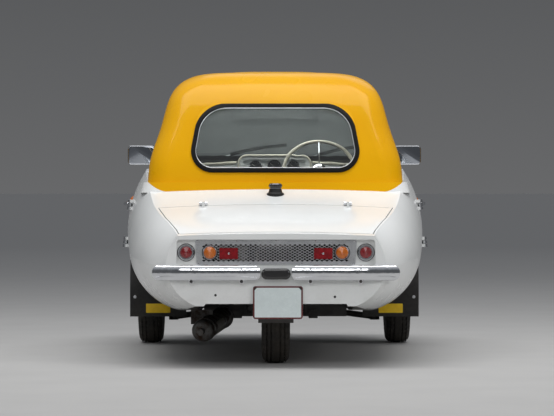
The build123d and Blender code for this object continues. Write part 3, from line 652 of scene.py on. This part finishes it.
def plate_trim():
    """The number plate's border and upper corners, and two screws low in the tail."""
    x0, x1, z0, z1 = PLATE
    y, inset, corner, leg = TAIL_Y - 0.011, 0.0035, 0.005, 0.014
    border, corners, screws = blanks(3)
    outline = rounded(x0 + inset, x1 - inset, z0 + inset, z1 - inset, 0.006, 3)
    tube(border, [(x, y, z) for x, z in outline], 0.0034, 6, closed=True, flat=0.3, up=AHEAD)
    top = z1 - corner
    for x, inward in ((x0 + corner, leg), (x1 - corner, -leg)):
        plate(corners, [(x, top), (x, top - leg), (x + inward, top)], y - 0.0014, y + 0.0004, 0.0003)
    for x, z in mm(-257.5, 309, 251, 302):
        screw(screws, *touch("body_rear", (x, -FAR, z), AHEAD), 0.0052)
    piece("plate_border", border, "plate", border_red)
    piece("plate_corners", corners, "dark_trim")
    piece("valance_screws", screws, "dark_trim")


def bumper_trim():
    """Domed bolts through the bars, nuts below them, and the flange that closes each bar's lower edge."""
    bolt_y, bolt_z, nut_y, nut_z = -1.4446, 0.4185, -1.44, 0.3685
    low, fold, edge, high = 0.3735, 0.3775, 0.3835, 0.3915
    path = mm(82, -1448.5, 180, -1448.5, 300, -1448.5, 362, -1447.8, 400, -1445.5, 440, -1440, 480, -1431.2,
              512, -1423.5)
    dome = mm(7, -4, 7, 0.8, 5, 3.6, 0, 4.4)
    washer = mm(7.2, -1, 10.2, -1, 9.8, 1.2, 7.2, 1.2)
    nut = mm(7.5, -10, 7.5, 1, 5.5, 4.5, 0, 5.5)
    bolts, nuts, flanges = blanks(3)
    for side in BOTH:
        for x in (0.1465, 0.3605):
            turned(bolts, dome, facing((side * x, bolt_y, bolt_z), (0, -0.9, 0.42)), 20)
            place = facing((side * x, nut_y, nut_z), (0, -0.94, -0.34))
            turned(nuts, nut, place, 20)
            turned(bolts, washer, place, 24)
        rows = []
        for x, y in path:
            top = high - 0.006 * ((x, y) in (path[0], path[-1]))
            section = ((0.005, low), (0.0015, fold), (0, edge), (0, top), (0.006, top), (0.007, low))
            rows.append(row(flanges, [(side * x, y + depth, z) for depth, z in section]))
        skin(flanges, rows, ends=True)
    piece("bumper_bolts", bolts, "chrome")
    piece("bumper_nuts", nuts, "black_steel")
    piece("bumper_flanges", flanges, "chrome")


def silencer_trim():
    """Two bands and a domed end on the silencer, and a pale label on its side."""
    front, rear = Vector((-0.236, -0.735, 0.188)), Vector((-0.316, -1.17, 0.147))
    along = (rear - front).normalized()
    band = mm(46, 0, 50.5, 1, 50.5, 12, 46, 13)
    dome = mm(13, -2, 48.5, -2, 48.5, 2, 45.5, 10, 38, 16.5, 27, 20.5, 13, 22)
    label_start, label = 0.25, mm(48.2, 0, 48.2, 150, 47, 150, 47, 0)
    bands, labels = blanks(2)
    for reach in (0.006, 0.4):
        turned(bands, band, facing(front + along * reach, along), 40)
    turned(bands, dome, facing(rear, along), 48)
    place = facing(rear - along * label_start, along)
    rows = []
    for a in range(32, -41, -6):
        rows.append(row(labels, [place @ polar(r, radians(a), height) for r, height in label]))
    skin(labels, rows, ends=True)
    piece("silencer_bands", bands, "exhaust_steel")
    piece("silencer_label", labels, "plate", label_pale)


def flap_trim():
    """A bare strip and three bolts on each mudflap."""
    near, far, low, high, bolt_z = 0.508, 0.626, 0.158, 0.203, 0.236
    strips, bolts = blanks(2)
    for side in BOTH:
        x0, x1 = sorted((side * near, side * far))
        outline = rounded(x0, x1, low, high, 0.004, 3)
        plate(strips, outline, FLAP_Y - 0.0016, FLAP_Y + 0.0004, 0.0004)
        for x in (0.45, 0.56, 0.68):
            hexagon(bolts, (side * x, FLAP_Y, bolt_z), REARWARD, 0.01, 0.005)
    piece("flap_strips", strips, "yellow_paint", label_yellow)
    piece("flap_bolts", bolts, "aluminium")


def filler_trim():
    """The fuel filler's ribbed cap, and the bright clip below it."""
    ribs, rib_circle = 18, 0.0292
    profile = mm(0, 40, 28, 40, 28.5, 31.5, 29.8, 33.5, 29.8, 42.5, 24.5, 48, 0, 49.2)
    ring = mm(28.3, 23.2, 29.8, 24, 29.8, 29.2, 28.3, 30.2, 27, 30.2, 26.5, 23.2)
    cap, clip = blanks(2)
    deck, _ = touch("body_rear", (0.1, FILLER_Y, 1.2), DOWN)
    place = facing((0, FILLER_Y, deck.z + 0.0004), UP)
    turned(cap, profile, place, 48)
    for a in circle(ribs):
        rib = [place @ polar(rib_circle, a, height) for height in (0.034, 0.042)]
        tube(cap, rib, 0.0016, 6, up=ACROSS)
    turned(clip, ring, place, 48)
    piece("filler_cap", cap, "dark_trim", gloss_black)
    piece("filler_clip", clip, "chrome")


def sleeves(fixed, moving, place, inner, outer, spans):
    """Two fixed sleeves on a hinge barrel, and a moving collar between them."""
    collar, start, end = spans
    for bm, a, b in ((fixed, -end, -start), (fixed, start, end), (moving, -collar, collar)):
        turned(bm, [(inner, a), (outer, a), (outer, b), (inner, b)], place, 32)


def hinge_sleeves():
    """Bright sleeves on the hinge barrels of the engine lid and the doors."""
    fixed, moving = blanks(2)
    for x in (-0.318, 0.318):
        place = facing((x, -0.9725, 0.698126), ACROSS)
        sleeves(fixed, moving, place, 0.0068, 0.0078, (0.0052, 0.0068, 0.0172))
    piece("lid_hinge_sleeves", fixed, "chrome")
    piece("lid_hinge_collars", moving, "chrome", body="lid")
    for side, tag in SIDES:
        fixed, moving = blanks(2)
        for x, z in mm(686.223, 520, 666.359, 690):
            place = facing((side * x, DOOR_HINGE_Y, z), (side * -0.116057, 0, 0.993243))
            sleeves(fixed, moving, place, 0.0088, 0.0097, (0.0078, 0.0092, 0.0238))
        piece(f"door_hinge_sleeves_{tag}", fixed, "chrome")
        piece(f"door_hinge_collars_{tag}", moving, "chrome", body=f"{tag}_door")


def window_line(grow):
    """(x, z) points along the rear window's opening, moved outwards by grow."""
    steps, spacing = 12, 0.04
    points = []
    for i, radius in enumerate(WINDOW_CORNERS):
        middle, bisector, across, half = window_corner(i)
        for angle in spaced(half - pi / 2, pi / 2 - half, steps):
            points.append(middle + (across * sin(angle) - bisector * cos(angle)) * (radius + grow))
    dense = []
    for first, second in zip(points, points[1:] + points[:1]):
        count = max(1, int((second - first).length / spacing))
        dense += [first.lerp(second, k / count) for k in range(count)]
    return dense


def window_rim(x, z):
    """How far back the rear window's rubber stands at (x, z)."""
    spots = [where.y for where, _ in hits(("window_seals", "roof"), (x, -FAR, z), AHEAD)]
    if spots and min(spots) < 0:
        return min(spots)
    pane, slope = touch("fixed_glass", (x, -FAR, z), AHEAD)
    return pane.y - PANE_DEPTH / abs(slope.y)


def window_band():
    """The rear window's rubber with a crowned face, and a bright bead where it meets the glass."""
    section = mm(6.6, -1, 5.8, 1, 2, 2.2, -4, 2.6, -10, 2.2, -13.8, 0.8, -14.6, -5)
    bead_inset, bead_depth, bead_r = 0.0152, 0.0012, 0.0016
    band, bead = blanks(2)
    rows = []
    for grow, lift in section:
        rows.append(row(band, [(x, window_rim(x, z) - lift, z) for x, z in window_line(grow)]))
    skin(band, rows)
    path = [(x, window_rim(x, z) + bead_depth, z) for x, z in window_line(-bead_inset)]
    tube(bead, path, bead_r, 8, closed=True, up=AHEAD)
    piece("window_band", band, "black_rubber", seal_rubber)
    piece("window_bead", bead, "aluminium")


def wing_lamps():
    """Longer lenses over the round lamps on the front wings, each in a bright cup."""
    base, along, height = 0.6583, 0.82, 0.694
    cup = mm(42.5, -10, 45, -10, 45.5, 4, 43.5, 12, 41.5, 14.5, 40, 14.5)
    profile = mm(0, 31, 38, 4, 41, 14, 40, 30, 34, 46, 24, 57, 12, 63, 0, 64.5)
    lenses, cups = blanks(2)
    for side in BOTH:
        place = facing((side * base, along, height), (side, 0, 0))
        turned(cups, cup, place, 48)
        turned(lenses, profile, place, 48)
    piece("wing_lamp_cups", cups, "chrome")
    piece("wing_lamp_lenses", lenses, "amber_lens")


tail_trim()
hinge_sleeves()
window_band()
wing_lamps()
plate_trim()
bumper_trim()
silencer_trim()
flap_trim()
filler_trim()


# Mirrors and wipers


def mirror_trim():
    """The mirrors' silvered faces, bright rims, domed backs and ball joints."""
    middle_x, middle_z, back_y, back_depth = 0.648, 0.926, 0.47, 0.021
    face_half_x, face_low, face_high, face_y = 0.062, 0.884, 0.968, 0.4508
    rim, rim_y, shell_half, shell_low, shell_high = 0.0022, 0.452, 0.0655, 0.8805, 0.9715
    ball_x, ball_z, ball = 0.606, 0.908, mm(0, -4, 11, -4, 11, 4, 0, 7)
    faces, rims = blanks(2)
    for side in BOTH:
        centre = side * middle_x
        x0, x1 = centre - face_half_x, centre + face_half_x
        plate(faces, rounded(x0, x1, face_low, face_high, 0.013), face_y, face_y + 0.0022, 0.0005)
        outline = rounded(x0 - rim, x1 + rim, face_low - 0.002, face_high + 0.002, 0.015)
        tube(rims, [(x, rim_y, z) for x, z in outline], rim, 10, closed=True, up=AHEAD)
        turned(rims, ball, facing((side * ball_x, back_y, ball_z), AHEAD), 24)
        outline = rounded(centre - shell_half, centre + shell_half, shell_low, shell_high, 0.0155)
        rings = []
        for k in range(9):
            angle = radians(10 * k)
            shrink = cos(angle) if k < 8 else 0.08
            y = back_y + back_depth * sin(angle)
            rings.append(row(rims, [(centre + (x - centre) * shrink, y, middle_z + (z - middle_z) * shrink)
                                    for x, z in outline]))
        skin(rims, rings, ends=True)
    piece("mirror_glass", faces, "chrome", mirror_glass)
    piece("mirror_rims", rims, "chrome", mirror_shell)


def on_front(x, z, out):
    """A point on the windscreen side of the cabin, held out from the surface."""
    found = hits(("fixed_glass", "window_seals", "roof"), (x, FAR, z), REARWARD)
    where, normal = max(found, key=lambda hit: hit[0].y)
    return where + (normal if normal.y >= 0 else -normal) * out


def wipers():
    reach, rise, bow, steps = 0.33, 0.06, 0.01, 12
    boss = mm(0, -6, 12, -6, 12, 10, 7, 16, 0, 16)
    arms, blades = blanks(2)
    for pivot_x in (-0.27, 0.16):
        turned(arms, boss, facing(on_front(pivot_x, WIPER_Z, 0.004), (0, 0.75, 0.66)), 24)
        line = []
        for t in spaced(0, 1, steps):
            line.append((pivot_x + reach * t, WIPER_Z + rise * t + bow * sin(pi * t)))
        path = [on_front(x, z, 0.016) for x, z in line]
        tube(arms, path[:9], [0.0048 - 0.0002 * k for k in range(9)], 8, flat=0.5)
        tube(blades, [p + Vector((0, -0.001, 0.004)) for p in path[2:]], 0.0035, 8, flat=1.6)
        tube(blades, [on_front(x, z + 0.004, 0.006) for x, z in line[2:]], 0.0022, 6, flat=2.4)
    piece("wiper_arms", arms, "aluminium")
    piece("wiper_blades", blades, "black_rubber")


mirror_trim()
wipers()


# Running gear


def spring(bm, low, high, radius, wire, turns):
    low, high = Vector(low), Vector(high)
    place = facing(low, high - low)
    length = (high - low).length
    points = []
    for t in spaced(0, 1, turns * 22):
        eased = t + 0.04 * sin(2 * pi * t) / (2 * pi)
        points.append(place @ polar(radius, 2 * pi * turns * t, eased * length))
    tube(bm, points, wire, 8)


def springs():
    """Coils round the rear dampers and the front struts."""
    wire, rear_x, front_y = 0.0045, 0.105, FRONT_AXLE_Y
    bm = bmesh.new()
    for side in BOTH:
        spring(bm, (side * rear_x, -0.969, 0.272), (side * rear_x, -0.9, 0.552), 0.026, wire, 8)
        spring(bm, (side * KINGPIN_X, front_y, 0.352), (side * KINGPIN_X, front_y, 0.52), 0.0305, wire, 6)
    piece("springs", bm, "black_steel")


def engine_fins():
    """Cooling fins round the cylinder, the carburettor's block and the flywheel's cover."""
    fins, pitch, thick, low_z = 9, 0.0092, 0.0032, 0.528
    disc = mm(0, 0, 40, 0, 40, 20, 34, 26, 0, 26)
    bm = bmesh.new()
    for z in (low_z + pitch * k for k in range(fins)):
        block(bm, (-0.212, -0.672, z), (0.002, -0.438, z + thick), 0.001, 1)
    block(bm, (-0.15, -0.7, 0.43), (-0.06, -0.672, 0.5), 0.008)
    turned(bm, disc, facing((0.06, -0.555, 0.38), ACROSS), 40)
    piece("engine_fins", bm, "cast_metal")


springs()
engine_fins()


# Cabin


def lining_ring(level, outward, count=96, power=0.36):
    """Points round a level of the headlining, which is a rectangle with soft corners."""
    z, rear, front, half, inset = level
    inset -= outward
    rear, front, half = rear + inset, front - inset, half - inset
    middle, reach = (rear + front) / 2, (front - rear) / 2
    points = []
    for a in circle(count):
        c, s = cos(a), sin(a)
        across, along = copysign(abs(c) ** power, c), copysign(abs(s) ** power, s)
        points.append((half * across, middle + reach * along, z))
    return points


def headliner():
    thick = 0.004
    bm = bmesh.new()
    edges = []
    for outward in (0.0, thick):
        rings = [row(bm, lining_ring(level, outward)) for level in HEADLINING]
        skin(bm, rings)
        bm.faces.new(rings[-1])
        edges.append(rings[0])
    skin(bm, edges)
    piece("headliner", bm, "upholstery", headlining)


def dash_fittings():
    """Three dials with marks and a hand each, and a row of knobs."""
    dial_y, dial_z, mark_lift, hand_lift = 0.35, 0.87, 0.0026, 0.0034
    pin = mm(0, 2, 4, 2, 4, 5, 0, 6)
    knob = mm(0, 0, 5, 0, 5, 12, 11, 14, 12, 20, 9, 25, 0, 26)
    bezels, faces, marks, knobs = blanks(4)
    for x, r in mm(-92, 30, 0, 34, 92, 30):
        place = facing((x, dial_y, dial_z), REARWARD)
        bezel = [(r - 0.003, 0), (r + 0.002, 0), (r + 0.002, 0.006), (r - 0.001, 0.009), (r - 0.003, 0.006)]
        turned(bezels, bezel, place, 40)
        turned(faces, [(0, 0), (r - 0.003, 0), (r - 0.003, 0.002), (0, 0.002)], place, 40)
        for k in range(11):
            a = radians(-30 + 24 * k)
            tube(marks, [place @ polar(r - gap, a, mark_lift) for gap in (0.01, 0.005)], 0.0005, 6, up=AHEAD)
        hand = [Vector((0.004, -0.004, hand_lift)), Vector((-0.62 * r, 0.5 * r, hand_lift))]
        tube(marks, [place @ point for point in hand], 0.0007, 6, up=AHEAD)
        turned(knobs, pin, place, 20)
    for x in (-0.33, -0.29, -0.25):
        turned(knobs, knob, facing((x, 0.3515, 0.84), REARWARD), 24)
    piece("dial_bezels", bezels, "chrome")
    piece("dial_faces", faces, "dark_trim", dial_black)
    piece("dial_marks", marks, "plate", dial_white)
    piece("dash_knobs", knobs, "dark_trim")


def dash_beading():
    """A pale roll along the top of the facia, and a thinner one round the binnacle."""
    roll_r, roll_y, inner_x, outer_x = 0.0075, 0.355, 0.184, 0.47
    hoop_r, hoop_y, bend, bend_x, bend_z = 0.0048, 0.3365, 0.04, 0.1355, 0.8835
    bm = bmesh.new()
    for side in BOTH:
        path = []
        for x in spaced(side * inner_x, side * outer_x, 12):
            top, _ = touch("dashboard", (x, 0.362, 1.2), DOWN)
            path.append((x, roll_y, top.z + 0.003))
        tube(bm, path, roll_r, 10)
    hoop = [(bend_x + bend, hoop_y, 0.838)]
    for a in spaced(0, pi / 2, 6):
        hoop.append((bend_x + bend * cos(a), hoop_y, bend_z + bend * sin(a)))
    hoop += [(-x, y, z) for x, y, z in reversed(hoop)]
    tube(bm, hoop, hoop_r, 10, up=AHEAD)
    piece("dash_beading", bm, "wheel_rim")


def levers():
    """The gear lever with its boot and knob, and three pedals."""
    lever_y, boot = 0.235, mm(50, 0, 48, 6, 20, 22, 9, 50, 7, 0)
    ball = mm(0, -6, 10, -4, 19, 10, 20, 22, 13, 36, 0, 40)
    rods, knob = blanks(2)
    floor, _ = touch("floor_tub", (0.0, lever_y, 0.6), DOWN)
    path = [Vector((0.0, y, floor.z + z)) for y, z in mm(235, 0, 228, 120, 195, 260, 150, 360)]
    tube(rods, path, [0.0075, 0.007, 0.0062, 0.0055], 12)
    turned(rods, boot, facing((0, lever_y, floor.z), UP), 32)
    turned(knob, ball, facing(path[-1], path[-1] - path[-2]), 28)
    for x in (0.12, 0.19, 0.265):
        tube(rods, [(x, 0.5, 0.5), (x, 0.47, 0.41), (x, 0.43, 0.345)], 0.006, 10)
        block(rods, (x - 0.024, 0.405, 0.315), (x + 0.024, 0.432, 0.36), 0.005)
    piece("levers", rods, "black_steel")
    piece("lever_knob", knob, "dark_trim")


def headlamp_bowls():
    lamp_x, lamp_y, lamp_z, slant = 0.397, 1.37, 0.576, 0.02
    profile = mm(0, 0.8, 79, 0.8, 79, 3.6, 60, 3, 20, 1.6, 0, 1.6)
    bm = bmesh.new()
    for side in BOTH:
        place = facing((side * lamp_x, lamp_y, lamp_z), (side * slant, 1, slant))
        turned(bm, profile, place, 56)
    piece("headlamp_bowls", bm, "chrome")


def panel(point, rows, columns, layers):
    """A closed sheet between two layers of the grid that point(row, column, layer) gives."""
    bm = bmesh.new()
    near, far = ([row(bm, [point(r, c, layer) for c in columns]) for r in rows] for layer in layers)
    for grid in (near, far):
        skin(bm, grid, closed=False)
    for edge in (0, -1):
        skin(bm, (near[edge], far[edge]), closed=False)
        skin(bm, ([line[edge] for line in near], [line[edge] for line in far]), closed=False)
    return bm


def door_cards():
    """Padded cards inside the doors with two beads each, and a window winder."""
    card_gap, card_depth, bead_lift, winder_lift = 0.0006, 0.0056, 0.0066, 0.0055
    winder_y, winder_z = 0.24, 0.56
    winder = mm(0, 0, 20, 0, 17, 6, 8, 10, 8, 16, 0, 17)
    ys, zs = spaced(-0.385, 0.32, 24), spaced(0.365, 0.665, 12)
    for side, tag in SIDES:
        def on_door(z, y, lift):
            where, _ = touch(f"door_{tag}", (side * DOOR_SIDE_X, y, z), (side, 0, 0))
            return Vector((where.x - side * lift, y, z))

        card = panel(on_door, zs, ys, (card_gap, card_depth))
        piece(f"door_card_{tag}", card, "upholstery", body=f"{tag}_door")
        bm = bmesh.new()
        for z in (0.45, 0.6):
            tube(bm, [on_door(z, y, bead_lift) for y in ys[1:-1]], 0.0045, 8, flat=0.5, up=ACROSS)
        place = facing(on_door(winder_z, winder_y, winder_lift), (-side, 0, 0))
        turned(bm, winder, place, 28)
        start = place @ Vector((0, 0, 0.013))
        handle = [start, start + Vector((0, -0.04, 0.004)), start + Vector((0, -0.085, 0.0))]
        tube(bm, handle, [0.0055, 0.005, 0.0042], 10)
        piece(f"door_card_trim_{tag}", bm, "chrome", body=f"{tag}_door")


def floor_mat():
    base_z, start_z, low, high = 0.232, 0.33, 0.0008, 0.0048
    xs, ys = spaced(-0.365, 0.365, 24), spaced(0.135, 0.91, 24)

    def on_floor(y, x, lift):
        found = hits(("floor_tub", "body_front"), (x, y, start_z), DOWN)
        return x, y, max([where.z for where, _ in found], default=base_z) + lift

    piece("floor_mat", panel(on_floor, ys, xs, (low, high)), "black_rubber")


def horn_push():
    """The steering wheel's domed hub and its upward spoke."""
    dome = mm(30, 6, 33, 10, 31, 18, 22, 24.5, 0, 27)
    bm = bmesh.new()
    place = facing(STEER_HUB, STEER_AXIS)
    turned(bm, dome, place, 48)
    tube(bm, [place @ Vector((0, 0.028, 0.008)), place @ Vector((0, 0.166, 0.002))], 0.0035, 10, up=ACROSS)
    piece("horn_push", bm, "chrome", body="hand_wheel")


headliner()
dash_fittings()
dash_beading()
levers()
headlamp_bowls()
door_cards()
floor_mat()
horn_push()


# Seats


def pad_form(low, high, lean, steps, power=7.0):
    """A closed pillow inside a box, with its back and front leaning."""
    bm = bmesh.new()
    bmesh.ops.create_cube(bm, size=2)
    bmesh.ops.subdivide_edges(bm, edges=bm.edges[:], cuts=steps, use_grid_fill=True)
    middle, size = (low + high) / 2, (high - low) / 2
    for v in bm.verts:
        reach = sum(abs(c) ** power for c in v.co) ** (1 / power)
        v.co = Vector([m + s * (c / reach) for m, s, c in zip(middle, size, v.co)])
        v.co.y += lean * (v.co.z - low.z)
    return bm


def swell(obj, cap):
    """Pressure puffs the cover up, no further than cap from where it started."""
    frames = 16
    cloth = obj.modifiers.new("cloth", "CLOTH")
    settings = cloth.settings
    settings.use_pressure = True
    settings.uniform_pressure_force = 4
    settings.effector_weights.gravity = 0
    settings.quality = 5
    scene = bpy.context.scene
    for number in range(1, frames + 1):
        scene.frame_set(number)
    grown = obj.evaluated_get(bpy.context.evaluated_depsgraph_get()).data
    ends = [v.co.copy() for v in grown.vertices]
    obj.modifiers.remove(cloth)
    scene.frame_set(1)
    for v, end in zip(obj.data.vertices, ends):
        move = end - v.co
        v.co += move if move.length <= cap else move * (cap / move.length)


def cover(name, box, space, lean, axis):
    """One swollen seat pad on the right, kept inside its space, with seams along it: sunk into the top of the
    cushion, raised on the rear of the back rest."""
    seams, seam_depth, seam_half, seam_start, fade = 7, 0.0075, 0.0055, 0.55, 0.2
    low, high = Vector(box[0]), Vector(box[1])
    obj = placed(name, finished(name, pad_form(low, high, lean, steps=22)))
    swell(obj, cap=0.014)
    dense = bmesh.new()
    dense.from_mesh(obj.data)
    bmesh.ops.subdivide_edges(dense, edges=dense.edges[:], cuts=1, use_grid_fill=True, smooth=0.6)
    held = (0, 2) if lean else (0, 1, 2)
    for v in dense.verts:
        for k in held:
            v.co[k] = min(max(v.co[k], space[0][k]), space[1][k])
        height = (v.co[axis] - lean * (v.co.z - low.z) - low[axis]) / (high[axis] - low[axis])
        if axis == 1:
            height = 1.0 - height
        if height > seam_start:
            for k in range(1, seams):
                gap = abs(v.co.x - (low.x + (high.x - low.x) * k / seams))
                share = min(1.0, (height - seam_start) / fade)
                v.co[axis] -= seam_depth * exp(-((gap / seam_half) ** 2)) * share
    dense.to_mesh(obj.data)
    dense.free()
    return obj


def seats():
    made = []
    for obj in (cover("seat_cushion_right", CUSHION, CUSHION_SPACE, 0.0, 2),
                cover("seat_back_right", BACK_REST, BACK_SPACE, BACK_LEAN, 1)):
        mesh = obj.data.copy()
        for v in mesh.vertices:
            v.co.x = -v.co.x
        mesh.flip_normals()
        made += [obj, placed(obj.name.replace("right", "left"), mesh)]
    for obj in made:
        obj.data.materials.clear()
        obj.data.materials.append(materials["upholstery"])
        obj.data.shade_smooth()
        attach(obj, "body")
        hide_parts("seats")


seats()


# Studio


def pale_floor():
    """Pale and matt round the car, and a little deeper in tone far away, which is painted shade."""
    s = Surface("floor_pale", Roughness=0.75)
    tone = s.mix(s.patches(3, 4), (0.46, 0.455, 0.446), (0.435, 0.43, 0.422))
    # painted shade: the floor darkens from 3 m to 26 m away
    s.colour(s.mix(s.spread(s.reach(s.x, s.y), 3.0, 26.0), tone, (0.31, 0.31, 0.312)))
    s.bump(s.noise(90, 3), 0.08, 0.0005)
    return s.material


def sky():
    """Grey to the sides, dark a little above the floor and bright overhead."""
    stops = ((0.0, 0.16, 0.162, 0.166), (0.08, 0.11, 0.113, 0.118), (0.35, 0.1, 0.105, 0.112),
             (0.62, 0.36, 0.375, 0.4), (1.0, 0.72, 0.73, 0.75))
    world = bpy.data.worlds.new("studio")
    bpy.context.scene.world = world
    world.use_nodes = True
    tree = world.node_tree
    split, ramp = tree.nodes.new("ShaderNodeSeparateXYZ"), tree.nodes.new("ShaderNodeValToRGB")
    light = tree.nodes["Background"]
    tree.links.new(tree.nodes.new("ShaderNodeTexCoord").outputs["Generated"], split.inputs[0])
    tree.links.new(split.outputs["Z"], ramp.inputs["Fac"])
    tree.links.new(ramp.outputs["Color"], light.inputs["Color"])
    steps = ramp.color_ramp.elements
    for k, (position, *colour) in enumerate(stops):
        step = steps[k] if k < 2 else steps.new(position)
        step.position, step.color = position, (*colour, 1)
    light.inputs["Strength"].default_value = 0.85


def studio():
    scene = bpy.context.scene
    half = 600.0
    bm = bmesh.new()
    bm.faces.new(row(bm, [(x * half, y * half, 0.0) for x, y in ((-1, -1), (1, -1), (1, 1), (-1, 1))]))
    floor = placed("studio_floor", finished("studio_floor", bm))
    floor.data.materials.append(pale_floor())
    sky()
    for name, place, aim, size, power in (
        ("overhead", (0.0, -0.8, 6.5), (0, -0.8, 0), (7.0, 3.4), 285),
        ("behind", (-0.8, -9.0, 4.8), (0, -0.6, 0.6), (5.0, 2.5), 120),
        ("behind_left", (-6.5, -7.0, 3.0), (0, -0.6, 0.6), (2.5, 3.0), 45),
        ("behind_right", (6.5, -6.0, 4.0), (0, -0.6, 0.6), (2.5, 3.0), 140),
        ("front", (1.5, 8.0, 7.0), (0, 0.4, 0.6), (6.0, 4.0), 40),
        ("cabin", (0.0, 0.22, 1.185), (0, 0.2, 0), (0.6, 0.16), 2.0),
    ):
        lamp = bpy.data.lights.new(name, "AREA")
        lamp.shape = "RECTANGLE"
        lamp.size, lamp.size_y = size
        lamp.energy = power
        obj = placed(name, lamp)
        obj.location = place
        obj.rotation_euler = (Vector(aim) - Vector(place)).to_track_quat("-Z", "Y").to_euler()
    eye = bpy.data.cameras.new("camera")
    eye.lens = FOCAL_PIXELS / PICTURE_WIDTH * SENSOR
    eye.sensor_width = SENSOR
    eye.clip_end = 2000
    holder = placed("camera", eye)
    holder.location = (-0.0525, -14.32, 0.757)
    holder.rotation_euler = (radians(90 - 0.34), 0, radians(-0.252))
    scene.camera = holder
    scene.view_settings.view_transform = "Standard"


studio()
